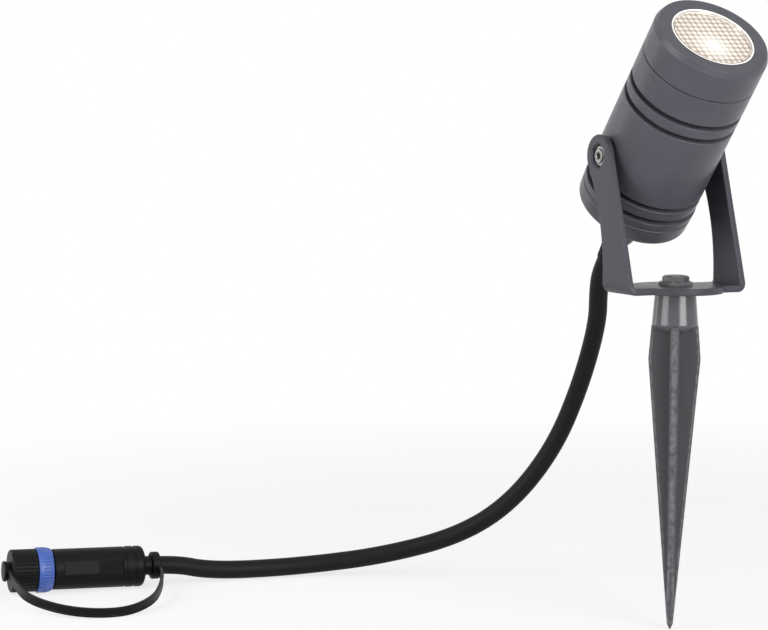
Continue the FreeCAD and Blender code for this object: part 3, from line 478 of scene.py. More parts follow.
# Points (across, up) and normals of the sheet's middle, from the base's middle to an arm's top
half_path = [(MIDDLE - BEND - BASE_HALF * (1 - k / 6), BASE_MIDDLE, 0, -1) for k in range(7)]
for k in range(1, 9):
    angle = math.radians(90 * k / 8)
    half_path.append((BASE_HALF + BEND * math.sin(angle), BEND_TOP - BEND * math.cos(angle),
                      math.sin(angle), -math.cos(angle)))
half_path += [(MIDDLE, BEND_TOP + ARM_STEP * k, 1, 0) for k in range(1, ARM_STEPS + 1)]
half_path += [(MIDDLE, PIVOT.z + END_RADIUS * math.sin(math.radians(a)), 1, 0) for a in range(4, 90, 3)]
half_path.append((MIDDLE, PIVOT.z + END_RADIUS - TOP_GAP, 1, 0))
path = [(-x, z, -nx, nz) for x, z, nx, nz in reversed(half_path[1:])] + half_path

lengths = [0.0]
for before, after in zip(path, path[1:]):
    lengths.append(lengths[-1] + math.hypot(after[0] - before[0], after[1] - before[1]))
flat_front = [Vector((lengths[k], arm_edges(path[k][1])[0])) for k in range(len(path))]
flat_rear = [Vector((lengths[k], arm_edges(path[k][1])[1])) for k in range(len(path))]


def inward(edge, index, sign):
    """Inward normal of the flat sheet's edge."""
    before = edge[max(index - 1, 0)]
    after = edge[min(index + 1, len(edge) - 1)]
    ahead = (after - before).normalized()
    return Vector((-ahead.y, ahead.x)) * sign


def bend_point(along, across, height):
    """A point of the bent sheet from its place on the flat one."""
    index = min(range(len(lengths)), key=lambda k: abs(lengths[k] - along))
    if lengths[index] > along and index > 0:
        index -= 1
    index = min(index, len(path) - 2)
    part = (along - lengths[index]) / (lengths[index + 1] - lengths[index])
    x, z, nx, nz = (a + (b - a) * part for a, b in zip(path[index], path[index + 1]))
    length = math.hypot(nx, nz)
    return Vector((x + nx / length * height, across, z + nz / length * height))


ROUND_STEPS = 6
round_edge = []
for step in range(ROUND_STEPS + 1):
    angle = math.pi / 2 * step / ROUND_STEPS
    round_edge.append((SHEET / 2 - EDGE + EDGE * math.cos(angle), EDGE - EDGE * math.sin(angle)))
section = round_edge + [(-height, inset) for height, inset in reversed(round_edge)]
rows = []
for index in range(len(path)):
    front_in, rear_in = inward(flat_front, index, 1), inward(flat_rear, index, -1)
    width = flat_rear[index].y - flat_front[index].y
    row = []
    for edge, edge_in, profile in ((flat_front, front_in, section), (flat_rear, rear_in, reversed(section))):
        for height, inset in profile:
            point = edge[index] + edge_in * min(inset, width * 0.5)
            row.append(bend_point(point.x, point.y, height))
    rows.append(row)


def recess_shape(angle, radius, level):
    """A hexagon with eased corners round the screw's hole."""
    return (eased_hexagon(angle, radius, 1.12) if radius > 3 else radius), level


sheet = make_piece("bracket_sheet", Form().add(*loft(rows)), GROUND)
for side in (-1, 1):
    recess = Form().add(*spin(
        [(0, side * 31), (6.95, side * 31), (5.2, side * 29.25, 0.1), (4.4, side * 28.6, 0.2),
         (4.4, side * 27.35, 0.3), (2.56, side * 27.35), (2.56, side * 20), (0, side * 20)],
        about="X", sides=144, shape=recess_shape))
    cutter = make_piece("recess", recess, Matrix.Translation(PIVOT))
    boolean(sheet, cutter)
seat = Form().add(*spin([(0, 14.02), (20.3, 14.02, 0.6), (20.3, 16.99, 0.6), (0, 16.99)], sides=160))
seat_piece = make_piece("seat", seat, GROUND)
joined = bmesh.new()
joined.from_mesh(sheet.data)
joined.from_mesh(seat_piece.data)
joined.to_mesh(sheet.data)
joined.free()
bpy.data.objects.remove(seat_piece)
shade(sheet)
dress(sheet, "bracket_coat", "bracket", "bracket")

# Base bolt and hexagon plate

PLATE_FOOT = 17.05
PLATE_TOP = PLATE_FOOT + 1.75
plate = Form().add(*spin(
    [(3.05, PLATE_FOOT), (7.7, PLATE_FOOT, 0.1), (7.7, PLATE_FOOT + 1.25, 0.15), (6.75, PLATE_TOP, 0.2),
     (3.05, PLATE_TOP)], closed=True, sides=288, shape=hexagon(13.4)))
dress(make_piece("hexagon_plate", plate, turn(6, "Z")), "bolt_coat", "spike_base", "hex_plate")
HEAD_FOOT = 18.85
HEAD_TOP = HEAD_FOOT + 2.4
DISH = HEAD_FOOT + 2.15
bolt = Form().add(*spin(
    [(0, -1), (2.7, -1, 0.2), (3, -0.6, 0.2), (3, HEAD_FOOT), (5.75, HEAD_FOOT, 0.1), (5.75, HEAD_FOOT + 1.75, 0.2),
     (4.7, HEAD_TOP, 0.25), (4, HEAD_TOP, 0.1), (3.6, DISH, 0.2), (0, DISH)], sides=288, shape=hexagon(10, 30)))
dress(make_piece("hexagon_bolt", bolt, GROUND), "bolt_coat", "spike_base", "base_bolt")

# Spike: crossed blades under a collar

# Half the blades' thickness and the bevel of their edges
HALF = 1.6
BEVEL = 0.9
SHOULDER = 14.3
TAPER_END = 128.5
TIP = 131
# Depths below the ground line and the blades' reach from the axis there
STATIONS = ((0, 9.9), (SHOULDER, 11.05), (TAPER_END, 1.3), (TIP, 0.25))


def blade_half(depth):
    """The blades' reach from the axis at a depth."""
    for (upper, upper_half), (lower, lower_half) in zip(STATIONS, STATIONS[1:]):
        if depth <= lower:
            return upper_half + (lower_half - upper_half) * (depth - upper) / (lower - upper)
    return STATIONS[-1][1]


def blade_section(depth):
    """A plus of two bevelled blades at a depth."""
    reach = blade_half(depth)
    thick = min(HALF, 0.92 * reach)
    bevel = min(BEVEL, 0.7 * thick, 0.35 * (reach - thick) + 0.02)
    inner = min(0.7, 0.3 * (reach - thick) + 0.01)
    rim = min(0.35, 0.1 * (reach - thick) + 0.001)
    quarter = [
        (reach, 0),
        (reach, (thick - bevel) * 0.96),
        (reach - 0.12 * bevel, thick - bevel * 0.88),
        (reach - bevel * 0.88, thick - 0.12 * bevel),
        (reach - bevel * 1.04, thick),
        (reach - bevel * 1.04 - rim, thick),
        (thick + inner, thick),
        (thick + inner * 0.5, thick + inner * 0.13),
        (thick + inner * 0.13, thick + inner * 0.5),
        (thick, thick + inner),
        (thick, reach - bevel * 1.04 - rim),
        (thick, reach - bevel * 1.04),
        (thick - 0.12 * bevel, reach - bevel * 0.88),
        (thick - bevel * 0.88, reach - 0.12 * bevel),
        ((thick - bevel) * 0.96, reach),
    ]
    result = []
    for k in range(4):
        cosine, sine = ((1, 0), (0, 1), (-1, 0), (0, -1))[k]
        result += [(x * cosine - y * sine, x * sine + y * cosine) for x, y in quarter]
    return result


below = SHOULDER + 0.6
depths = [0, 0.5] + [SHOULDER * k / 4 for k in range(1, 4)] + [SHOULDER - 0.6, SHOULDER, below] + [
    below + (TAPER_END - below) * k / 24 for k in range(1, 24)] + [TAPER_END, 129.3, 130, 130.6, TIP]
blades = Form().add(*loft([[(x, y, -depth) for x, y in blade_section(depth)] for depth in sorted(depths)]))
blades.add(*spin([(0, -2), (7.35, -2, 0.3), (9.45, 0, 0.3), (9.75, 0.5, 0.3), (8.65, 13.95, 0.5), (4.65, 13.95),
                  (4.65, -1.45), (0, -1.45)], sides=160))
dress(make_piece("spike_moulding", blades, SPIKE, sharp=28), "spike_plastic", "spike_base", "spike")

# Plug body with its flat grip panel

PLUG_RADIUS = 9.3
PANEL_DEPTH = 0.45
PANEL_HALF = 4.15
PANEL_START, PANEL_END = 4, 32
# The raised grip lines on the panel
LINES_START, LINES_END = 20.2, 31.7
LINES_HALF = 3.4
LINES_PITCH = 1.35
LINES_HEIGHT = 0.16

outline = [(6, -17.2), (7.6, -17.2, 0.2)]
for number in range(3):
    start = -16.0 + 1.3 * number
    outline += [(7.6, start, 0.1), (7.25, start + 0.3, 0.1), (7.25, start + 0.7, 0.1), (7.6, start + 1, 0.1)]
outline += [(7.6, -11.2), (6.9, -11.2), (6.9, -9.8), (7.6, -9.8), (7.6, 0), (PLUG_RADIUS, 0, 0.6)]
outline += [(PLUG_RADIUS, 3.4 + 0.15 * k) for k in range(195)]
outline += [(PLUG_RADIUS, 33, 0.1), (9, 33.3, 0.1), (9, 34, 0.1), (9.4, 34.3, 0.15), (9.4, 37.2, 0.15)]
outline += [(9, 37.5, 0.1), (9, 38.2, 0.1), (9.4, 38.5, 0.15), (9.4, 42.4, 2.4), (4.4, 42.4, 0.5), (4.4, 50), (0, 50)]
outline += [(0, 8), (6, 8)]


def grip_panel(angle, radius, level):
    """A shallow flat on one side with raised grip lines at its cord end."""
    if PANEL_START <= level <= PANEL_END and radius > 9:
        across, over = radius * math.cos(angle), radius * math.sin(angle)
        if across < 0:
            edge = min(1, (level - PANEL_START) / 0.35, (PANEL_END - level) / 0.35,
                       max(0, (PANEL_HALF - abs(over)) / 0.3))
            depth = PANEL_DEPTH
            if LINES_START <= level <= LINES_END and abs(over) < LINES_HALF:
                wave = math.cos(2 * math.pi * (level - LINES_START) / LINES_PITCH)
                depth += LINES_HEIGHT - LINES_HEIGHT * wave
            flat = -(PLUG_RADIUS - depth)
            if across < flat:
                across += (flat - across) * max(0, min(1, edge))
            radius = math.hypot(across, over)
    return radius, level


plug_form = Form().add(*spin(outline + [(6, -17.2)], about="X", sides=224, shape=grip_panel))
dress(make_piece("plug_shell", plug_form, GRIP, sharp=40), "plug_shell", "bracket", "plug_body")

# Length over which the grooves between ribs fade in and out
RIB_LEAD = 0.4


def ribs(count, depth, floor, low, high, share):
    """Grooves between ribs where a turned form is wider than the floor and between two levels. A larger share
    gives wider grooves."""
    def shape(angle, radius, level):
        if radius > floor and low < level < high:
            place = (angle * count / (2 * math.pi)) % 1
            wave = max(0, math.cos(2 * math.pi * (place - 0.5)) - (1 - 2 * share)) / (2 * share)
            fade = min(1, (level - low) / RIB_LEAD, (high - level) / RIB_LEAD)
            radius -= depth * min(1, 2 * wave) * fade
        return radius, level
    return shape


# Locking ring: a ribbed band that narrows towards the plug

RING_BORE = 7.66
RING_RADIUS = 10.35
RING_NARROW = 9.95
ring_outline = [(RING_BORE, -7.4), (RING_RADIUS, -7.4, 0.35), (RING_RADIUS, -5.2)]
ring_outline += [(RING_RADIUS, -5 + 0.2 * k) for k in range(6)]
ring_outline += [(RING_RADIUS, -3.7, 0.2), (RING_NARROW, -1.6)]
ring_outline += [(RING_NARROW - 0.05 * k, -1.6 + 0.15 * k) for k in range(1, 5)]
ring_outline += [(9.35, -0.5, 0.3), (RING_BORE, -0.5)]
ring_form = Form().add(*spin(ring_outline, about="X", closed=True, sides=480,
                             shape=ribs(count=40, depth=0.35, floor=9.6, low=-5.1, high=-1.1, share=0.3)))
dress(make_piece("locking_collar", ring_form, PLUG, sharp=50), "ring_blue", "locking_ring", "locking_ring")

# Dust cap

CAP_BORE = 7.9
CAP_RADIUS = 9.75
CAP_END = -19.3
cap_outline = [(CAP_BORE, -7.7), (CAP_RADIUS, -7.7, 0.3)]
cap_outline += [(CAP_RADIUS, -8.2 - 0.4 * k) for k in range(25)]
cap_outline += [(CAP_RADIUS, CAP_END, 1.0), (0, CAP_END), (0, -18.1), (CAP_BORE, -18.1)]
cap_form = Form().add(*spin(cap_outline, about="X", closed=True, sides=432,
                            shape=ribs(count=36, depth=0.4, floor=9.2, low=-18.2, high=-7.9, share=0.4)))
dress(make_piece("cap_shell", cap_form, PLUG, sharp=50), "cap_shell", "dust_cap", "dust_cap")
button = Form().add(*spin(
    [(0, -19), (1.9, -19), (1.9, -21.1), (4.7, -21.1, 0.3), (4.7, -22.5, 0.6), (0, -22.5)], about="X", sides=96))
dress(make_piece("button_head", button, PLUG), "cap_shell", "dust_cap", "cap_button")

# Strap with its neck loop and its eye

# Its middle line in the strap's own plane: along the plug, and out from the plug
STRAP_POINTS = [(48.8, 6), (49.1, 12), (44, 30.4), (35.3, 49.5), (18.8, 63.1), (-3.1, 59.3), (-18.7, 40.1),
                (-20.2, 18.7), (-20.2, 3)]
strap_line = [point / MM for point in spline_line("strap_line", [(x, y, 0) for x, y in STRAP_POINTS], 12)]
# A quarter of its section (half thickness, half width): a rounded edge bead and a thinner middle
BEAD_MIDDLE = (0.42, 1.72)
BEAD_RADIUS = 0.38
quarter = []
for step in range(ROUND_STEPS + 1):
    angle = math.pi / 2 * step / ROUND_STEPS
    quarter.append((BEAD_MIDDLE[0] + BEAD_RADIUS * math.sin(angle), BEAD_MIDDLE[1] + BEAD_RADIUS * math.cos(angle)))
quarter += [(0.8, 1.45), (0.66, 1.2), (0.6, 0.95), (0.6, 0.5), (0.6, 0)]
section = quarter + [(t, -w) for t, w in reversed(quarter[:-1])]
section += [(-t, -w) for t, w in section]
rows = []
for index, here in enumerate(strap_line):
    ahead = (strap_line[min(index + 1, len(strap_line) - 1)] - strap_line[max(index - 1, 0)]).normalized()
    away = Vector((ahead.y, -ahead.x))
    rows.append([(here.x + away.x * t, here.y + away.y * t, w) for t, w in section])
strap = Form().add(*loft(rows))
strap.add(*spin([(4.75, 46.3, 0.3), (6.3, 46.3, 1.7), (6.3, 50.1, 1.7), (4.75, 50.1, 0.3)], about="X", closed=True,
                sides=96, steps=8))
strap.add(*spin([(2.25, -21), (4.2, -21, 0.3), (4.2, -19.4, 0.3), (2.25, -19.4)], about="X", closed=True, sides=96))
strap_piece = make_piece("strap_band", strap, STRAP, sharp=45)
dress(strap_piece, "strap_rubber", None, "cap_strap")
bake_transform(strap_piece)

with_cord = [piece for piece, slot in dressed if piece.name in (
    "plug_shell", "locking_collar", "cap_shell", "button_head", "strap_band")]
with_cord += [nodes[name] for name in ("contact_insert", "contact_pin_live", "contact_pin_neutral",
                                      "contact_pin_earth", "plug_seal", "cap_seal")]
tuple(cord_line[0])

# ---- materials ----


def link(tree, source, target):
    """Join two sockets."""
    tree.links.new(source, target)


def noise(tree, vector, scale, detail):
    """Noise from 0 to 1."""
    node = tree.nodes.new("ShaderNodeTexNoise")
    node.inputs["Scale"].default_value = scale
    node.inputs["Detail"].default_value = detail
    link(tree, vector, node.inputs["Vector"])
    return node.outputs["Fac"]


def ramp(tree, value, *stops):
    """Colours at positions along a value."""
    node = tree.nodes.new("ShaderNodeValToRGB")
    while len(node.color_ramp.elements) < len(stops):
        node.color_ramp.elements.new(0.5)
    for element, (position, colour) in zip(node.color_ramp.elements, stops):
        element.position = position
        element.color = (*colour, 1)
    link(tree, value, node.inputs["Fac"])
    return node.outputs["Color"]


def spread(tree, value, low, high, to_low=0.0, to_high=1.0):
    """A value's range from low to high, laid over another range."""
    node = tree.nodes.new("ShaderNodeMapRange")
    for name, number in (("From Min", low), ("From Max", high), ("To Min", to_low), ("To Max", to_high)):
        node.inputs[name].default_value = number
    link(tree, value, node.inputs["Value"])
    return node.outputs["Result"]


def reckon(tree, kind, one, other):
    """A sum of two values, each a socket or a number."""
    node = tree.nodes.new("ShaderNodeMath")
    node.operation = kind
    for index, value in enumerate((one, other)):
        if isinstance(value, (int, float)):
            node.inputs[index].default_value = value
        else:
            link(tree, value, node.inputs[index])
    return node.outputs["Value"]


def vector_sum(tree, kind, one, other=(0, 0, 0)):
    """The node that holds a sum of two vectors."""
    node = tree.nodes.new("ShaderNodeVectorMath")
    node.operation = kind
    link(tree, one, node.inputs[0])
    if isinstance(other, tuple):
        node.inputs[1].default_value = other
    else:
        link(tree, other, node.inputs[1])
    return node


def from_axis(tree, vector):
    """Distance from a frame's upright axis."""
    flat = vector_sum(tree, "MULTIPLY", vector, (1, 1, 0)).outputs["Vector"]
    return vector_sum(tree, "LENGTH", flat).outputs["Value"]


def mix(tree, factor, under, over):
    """Two colours mixed by a value."""
    node = tree.nodes.new("ShaderNodeMix")
    node.data_type = "RGBA"
    link(tree, factor, node.inputs["Factor"])
    for name, value in (("A", under), ("B", over)):
        socket = next(item for item in node.inputs if item.name == name and item.type == "RGBA")
        if isinstance(value, tuple):
            socket.default_value = (*value, 1)
        else:
            link(tree, value, socket)
    return next(item for item in node.outputs if item.type == "RGBA")


def local(tree, place, frame_matrix, scale):
    """Coordinates in a group's own frame, in steps of one scale."""
    node = tree.nodes.new("ShaderNodeMapping")
    node.vector_type = "TEXTURE"
    node.inputs["Location"].default_value = frame_matrix.translation * MM
    node.inputs["Rotation"].default_value = frame_matrix.to_euler()
    node.inputs["Scale"].default_value = scale
    link(tree, place, node.inputs["Vector"])
    return node.outputs["Vector"]


# Sizes of a finish's noises: broad tone and gloss, and the orange-peel waves, per metre, and the relief in metres
BROAD = 70
WAVES = 420
RELIEF = 0.0001
# Heights in a finish's own frame, in millimetres, over which its lower part changes to its top part, which is painted
# lighter as a painted highlight
LIT_TOP_FROM, LIT_TOP_TO = -1.9, -1.5
# How far above its threshold an edge's pointedness counts as fully pale, partly worn and partly a painted highlight
EDGE_HIGHLIGHT_RANGE = 0.08


def brighter(colour, share):
    """A colour with each part raised by a share of itself."""
    return tuple(part * (1 + share) for part in colour)


def finish(slot, colour, mottle=0.06, roughness=0.45, rough_spread=0.08, grain=0.0005, bump=0.2, peel=0.35,
           wear=0.0, worn_from=0.53, lines=None, rings=0.0, upper=None, **constants):
    """A moulded or coated surface: fine grain, a soft orange-peel relief, mottled tone with paler specks, uneven
    gloss and paler edges, partly worn and partly a painted highlight along ridges and rims. lines is a frame and
    a scale for fine machining or moulding lines, which also lighten the tone in streaks, on turned faces partly a
    painted sheen; rings is the width of turned rings about that frame's axis, and upper is a frame with
    the lighter colour, a painted highlight, and the roughness of its top part. constants are the surface's other
    values, such as specular_ior_level."""
    material = bpy.data.materials.new(slot)
    material.use_nodes = True
    tree = material.node_tree
    principled = tree.nodes["Principled BSDF"]
    place = tree.nodes.new("ShaderNodeTexCoord").outputs["Object"]
    broad = noise(tree, place, BROAD, 5)
    fine = noise(tree, place, 1 / grain, 2)
    waves = noise(tree, place, WAVES, 2)
    tone = ramp(tree, broad, (0.3, brighter(colour, -mottle)), (0.7, brighter(colour, mottle)))
    specks = reckon(tree, "MULTIPLY", spread(tree, fine, 0.35, 0.72), 0.35)
    tone = mix(tree, specks, tone, brighter(colour, 2.2 * mottle))
    height = reckon(tree, "ADD", fine, reckon(tree, "MULTIPLY", waves, peel * 3))
    gloss = broad
    if lines:
        along = local(tree, place, *lines)
        if rings:
            turned = tree.nodes.new("ShaderNodeCombineXYZ")
            link(tree, from_axis(tree, local(tree, place, lines[0], (rings,) * 3)), turned.inputs["X"])
            along = vector_sum(tree, "ADD", along, turned.outputs["Vector"]).outputs["Vector"]
        streaks = noise(tree, along, 1, 4)
        height = reckon(tree, "ADD", height, reckon(tree, "MULTIPLY", streaks, 0.7))
        # Streaks lighten the tone: machining and moulding lines, and on the turned head also a painted sheen standing
        # in for the streaks of turned reflections
        streaks_and_turned_sheen = reckon(tree, "MULTIPLY", spread(tree, streaks, 0.38, 0.72), 0.5)
        tone = mix(tree, streaks_and_turned_sheen, tone, brighter(colour, 3 * mottle))
        gloss = reckon(tree, "MULTIPLY", reckon(tree, "ADD", broad, streaks), 0.5)
    # Paler edges by pointedness: partly worn, and partly a painted highlight along ridges and rims
    if wear:
        pointed = tree.nodes.new("ShaderNodeNewGeometry").outputs["Pointiness"]
        edges = spread(tree, pointed, worn_from, worn_from + EDGE_HIGHLIGHT_RANGE)
        worn_and_highlit_edges = reckon(tree, "MULTIPLY", reckon(tree, "MULTIPLY", edges, spread(tree, waves, 0.3, 0.6)), wear)
        tone = mix(tree, worn_and_highlit_edges, tone, tuple(min(1, 0.06 + 2 * part) for part in colour))
    gloss = spread(tree, gloss, 0.25, 0.75, roughness - rough_spread, roughness + rough_spread)
    # The top part is painted lighter, a painted highlight; its roughness is its own gloss
    if upper:
        own_frame, painted_top_colour, upper_roughness = upper
        split = tree.nodes.new("ShaderNodeSeparateXYZ")
        link(tree, local(tree, place, own_frame, (MM,) * 3), split.inputs["Vector"])
        above = spread(tree, split.outputs["Z"], LIT_TOP_FROM, LIT_TOP_TO)
        tone = mix(tree, above, tone, painted_top_colour)
        gloss = reckon(tree, "ADD", gloss, reckon(tree, "MULTIPLY", above, upper_roughness - roughness))
    link(tree, tone, principled.inputs["Base Color"])
    link(tree, gloss, principled.inputs["Roughness"])
    relief_node = tree.nodes.new("ShaderNodeBump")
    relief_node.inputs["Strength"].default_value = bump
    relief_node.inputs["Distance"].default_value = RELIEF
    link(tree, height, relief_node.inputs["Height"])
    link(tree, relief_node.outputs["Normal"], principled.inputs["Normal"])
    for name, value in constants.items():
        principled.inputs[name.replace("_", " ").title().replace("Ior", "IOR")].default_value = value
    return material


def pillow_finish(slot):
    """The optic's warm white face: each pillow painted bright in its middle and brown-grey at its boundary, a painted
    highlight and painted shade on its dome, and a painted pool of light that washes it out below the middle.
    """
    material = finish(slot, (0.9, 0.82, 0.72), mottle=0.02, roughness=0.16, rough_spread=0.03, grain=0.001, bump=0.05,
                      peel=0, coat_weight=0.8)
    tree = material.node_tree
    place = next(node for node in tree.nodes if node.bl_idname == "ShaderNodeTexCoord").outputs["Object"]
    cells = vector_sum(tree, "MULTIPLY", local(tree, place, HEAD, (CELL * MM,) * 3), (1, 1, 0)).outputs["Vector"]
    # Painted highlight in each pillow's middle and painted shade at its boundary, from its middle to its boundary
    inside = vector_sum(tree, "FRACTION", cells).outputs["Vector"]
    from_middle = vector_sum(tree, "DISTANCE", inside, (0.5, 0.5, 0)).outputs["Value"]
    tone = ramp(tree, from_middle, (0.12, (1, 0.95, 0.85)), (0.32, (1, 0.9, 0.77)), (0.43, (0.55, 0.42, 0.3)),
                (0.6, (0.24, 0.16, 0.1)))
    # Some pillows darker than others
    chance = tree.nodes.new("ShaderNodeTexWhiteNoise")
    chance.noise_dimensions = "3D"
    link(tree, vector_sum(tree, "FLOOR", cells).outputs["Vector"], chance.inputs["Vector"])
    tone = mix(tree, reckon(tree, "MULTIPLY", chance.outputs["Value"], 0.22), tone, (0.38, 0.28, 0.18))
    # Duller patches away from the middle
    outwards = vector_sum(tree, "LENGTH", cells).outputs["Value"]
    patchy = noise(tree, cells, 0.8, 2)
    dull = reckon(tree, "MULTIPLY", spread(tree, outwards, 3, 6.4), spread(tree, patchy, 0.4, 0.62))
    tone = mix(tree, reckon(tree, "MULTIPLY", dull, 0.6), tone, (0.26, 0.19, 0.13))
    # A painted pool of light washing out the middle, and a pale ring at the rim, a painted highlight
    from_light = vector_sum(tree, "DISTANCE", cells, (-0.4, -1.7, 0)).outputs["Value"]
    painted_light_pool = spread(tree, from_light, 0.4, 3.6, 1, 0)
    tone = mix(tree, reckon(tree, "MULTIPLY", painted_light_pool, 0.9), tone, (1, 0.97, 0.91))
    tone = mix(tree, spread(tree, outwards, 6.42, 6.5), tone, (0.98, 0.95, 0.89))
    link(tree, tone, tree.nodes["Principled BSDF"].inputs["Base Color"])
    return material


BLACK_RUBBER = dict(colour=(0.0055, 0.0054, 0.006), mottle=0.12, roughness=0.42, rough_spread=0.06, bump=0.3,
                    wear=0.5, specular_ior_level=0.08)
LOOKS = {
    # The turned rings lighten the coat in streaks: machining rings, and partly a painted sheen of turned reflections
    "lamp_coat": dict(
        colour=(0.056, 0.057, 0.068), mottle=0.12, roughness=0.32, grain=0.00045, bump=0.4, peel=0.25,
        lines=(HEAD, (0.012, 0.012, 0.0006)), rings=0.0006, specular_ior_level=0.2),
    "bracket_coat": dict(
        colour=(0.042, 0.042, 0.051), mottle=0.13, roughness=0.36, rough_spread=0.06, grain=0.00045, bump=0.4,
        peel=0.5, specular_ior_level=0.15),
    # The collar is painted lighter than the blades, a painted highlight, and the blades' edges are painted pale,
    # painted highlights along the ridges
    "spike_plastic": dict(
        colour=(0.03, 0.028, 0.033), mottle=0.1, roughness=0.34, rough_spread=0.05, grain=0.0006, peel=0.3, wear=4,
        worn_from=0.508, lines=(SPIKE, (0.003, 0.003, 0.04)), upper=(SPIKE, (0.06, 0.056, 0.063), 0.19),
        specular_ior_level=0.5),
    "insert_brass": dict(
        colour=(0.6, 0.42, 0.16), mottle=0.05, roughness=0.3, rough_spread=0.05, grain=0.0006, bump=0.1, metallic=1),
    "bolt_coat": dict(colour=(0.085, 0.084, 0.09), mottle=0.14, roughness=0.3, bump=0.25, peel=0.5, wear=0.8),
    "screw_steel": dict(
        colour=(0.17, 0.165, 0.16), mottle=0.15, roughness=0.2, rough_spread=0.06, bump=0.15, peel=0.2,
        lines=(HEAD, (0.0006, 0.01, 0.01)), metallic=1),
    "washer_nylon": dict(colour=(0.02, 0.02, 0.021)),
    "front_glass": dict(
        colour=(1, 1, 1), mottle=0.0, roughness=0.02, rough_spread=0.01, grain=0.002, bump=0.01, peel=0.1,
        transmission_weight=1, ior=1.45),
    "seal_rubber": dict(colour=(0.012, 0.012, 0.012), mottle=0.1, roughness=0.6),
    "holder_white": dict(colour=(0.8, 0.78, 0.74), mottle=0.02),
    "pad_grey": dict(colour=(0.3, 0.32, 0.35), mottle=0.05, roughness=0.8),
    "board_metal": dict(colour=(0.75, 0.75, 0.75), mottle=0.02, roughness=0.4),
    "chip_phosphor": dict(colour=(0.8, 0.65, 0.15), mottle=0.03, roughness=0.3),
    "driver_resin": dict(colour=(0.02, 0.02, 0.02), mottle=0.1, roughness=0.35),
    "lead_insulation": dict(colour=(0.4, 0.05, 0.04), mottle=0.05, roughness=0.5),
    "gland_nylon": dict(
        colour=(0.018, 0.018, 0.02), mottle=0.08, roughness=0.42, rough_spread=0.06, bump=0.25, peel=0.4, wear=0.5),
    "relief_rubber": dict(
        colour=(0.01, 0.01, 0.011), mottle=0.08, roughness=0.5, rough_spread=0.06, grain=0.0004, bump=0.25,
        specular_ior_level=0.08),
    "cord_rubber": dict(
        colour=(0.008, 0.0076, 0.0084), mottle=0.12, roughness=0.48, rough_spread=0.07, grain=0.0004, bump=0.4,
        peel=0.6, specular_ior_level=0.08),
    "plug_shell": dict(
        colour=(0.0045, 0.0044, 0.0048), mottle=0.12, roughness=0.42, rough_spread=0.06, bump=0.3, peel=0.4,
        wear=0.25, lines=(PLUG, (0.01, 0.0012, 0.0012)), specular_ior_level=0.08),
    "contact_brass": dict(
        colour=(0.6, 0.45, 0.18), mottle=0.05, roughness=0.25, rough_spread=0.05, bump=0.1, metallic=1),
    "ring_blue": dict(
        colour=(0.032, 0.078, 0.31), mottle=0.08, roughness=0.42, rough_spread=0.06, bump=0.25, peel=0.4, wear=0.4),
    "cap_shell": dict(BLACK_RUBBER, peel=0.4),
    "strap_rubber": dict(BLACK_RUBBER, peel=0.5),
}
finishes = {slot: finish(slot, **look) for slot, look in LOOKS.items()}
finishes["lens_clear"] = pillow_finish("lens_clear")

for part in frame["record"]["subparts"]:
    node = nodes[part["node"]]
    node.data.materials.clear()
    node.data.materials.append(finishes[part["material_slot"]])
for piece, slot in dressed:
    piece.data.materials.clear()
    piece.data.materials.append(finishes[slot])

# ---- floor, lamps and background ----

scene.view_settings.view_transform = "Standard"

FLOOR_PLACE = Vector((0, 100, -131.05))
floor_form = Form().add(*spin([(0, 0), (300, 0), (900, 0), (3500, 0)], sides=96))
floor = make_piece("floor", floor_form, Matrix.Translation(FLOOR_PLACE))


def seen_directly(tree):
    """1 for rays from the camera, a mirror or glass, and 0 for the light on the object."""
    kinds = tree.nodes.new("ShaderNodeLightPath").outputs
    either = reckon(tree, "MAXIMUM", kinds["Is Camera Ray"], kinds["Is Glossy Ray"])
    return reckon(tree, "MAXIMUM", either, kinds["Is Transmission Ray"])


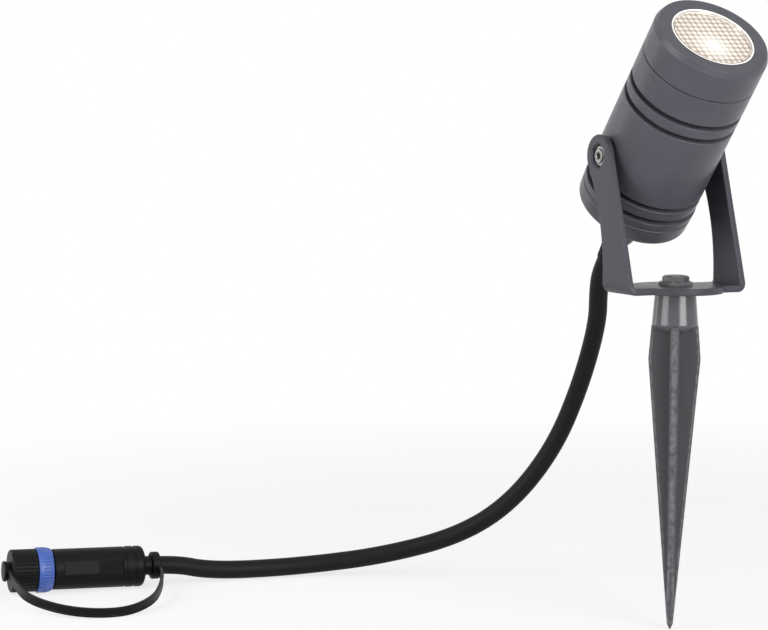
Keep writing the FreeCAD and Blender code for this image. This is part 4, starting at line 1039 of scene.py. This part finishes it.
# The floor is paper that fades into the white background, which hides its edge and keeps the object's shadow.
FADE_FROM, FADE_TO = 0.32, 0.7
NEAR_GLOW = 0.74
floor_material = finish("floor_paper", (0.86, 0.86, 0.86), mottle=0.004, roughness=0.9, rough_spread=0.02,
                        grain=0.003, bump=0.02, specular_ior_level=0.1)
tree = floor_material.node_tree
glow = tree.nodes.new("ShaderNodeEmission")
glow.inputs["Strength"].default_value = 1
blend = tree.nodes.new("ShaderNodeMixShader")
place = tree.nodes.new("ShaderNodeTexCoord").outputs["Object"]
share = spread(tree, from_axis(tree, place), FADE_FROM, FADE_TO, NEAR_GLOW, 1)
link(tree, reckon(tree, "MULTIPLY", share, seen_directly(tree)), blend.inputs["Fac"])
link(tree, tree.nodes["Principled BSDF"].outputs["BSDF"], blend.inputs[1])
link(tree, glow.outputs["Emission"], blend.inputs[2])
link(tree, blend.outputs["Shader"], tree.nodes["Material Output"].inputs["Surface"])
floor.data.materials.clear()
floor.data.materials.append(floor_material)

AMBIENT = 0.22
world = bpy.data.worlds.new("world")
scene.world = world
world.use_nodes = True
tree = world.node_tree
white = tree.nodes.new("ShaderNodeBackground")
for node, strength in ((tree.nodes["Background"], AMBIENT), (white, 1)):
    node.inputs["Color"].default_value = (1, 1, 1, 1)
    node.inputs["Strength"].default_value = strength
choice = tree.nodes.new("ShaderNodeMixShader")
link(tree, seen_directly(tree), choice.inputs["Fac"])
link(tree, tree.nodes["Background"].outputs["Background"], choice.inputs[1])
link(tree, white.outputs["Background"], choice.inputs[2])
link(tree, choice.outputs["Shader"], tree.nodes["World Output"].inputs["Surface"])

LIGHT_TARGET = Vector((0, 0, 0.03))


def softbox(name, bearing, height, distance, width, tall, power):
    """A rectangular lamp, aimed at the object, at a bearing from the camera's side in degrees, with its height,
    distance, width and tallness in metres and its power in watts."""
    data = bpy.data.lights.new(name, "AREA")
    data.shape = "RECTANGLE"
    data.size = width
    data.size_y = tall
    data.energy = power
    towards = Vector((-forward.x, -forward.y, 0)).normalized()
    towards.rotate(Matrix.Rotation(math.radians(bearing), 3, "Z"))
    place = LIGHT_TARGET + towards * distance + Vector((0, 0, height))
    aim = (LIGHT_TARGET - place).to_track_quat("-Z", "Y")
    lamp = bpy.data.objects.new(name, data)
    lamp.matrix_world = Matrix.Translation(place) @ aim.to_matrix().to_4x4()
    scene.collection.objects.link(lamp)


softbox("key_softbox", bearing=-62, height=0.35, distance=1.2, width=0.8, tall=0.95, power=12)
softbox("rim_softbox", bearing=-122, height=0.2, distance=1.1, width=0.3, tall=1.1, power=1.5)
softbox("front_softbox", bearing=34, height=0.35, distance=1.2, width=0.75, tall=0.95, power=18)
softbox("top_softbox", bearing=0, height=1.3, distance=0.4, width=1.2, tall=0.9, power=4)
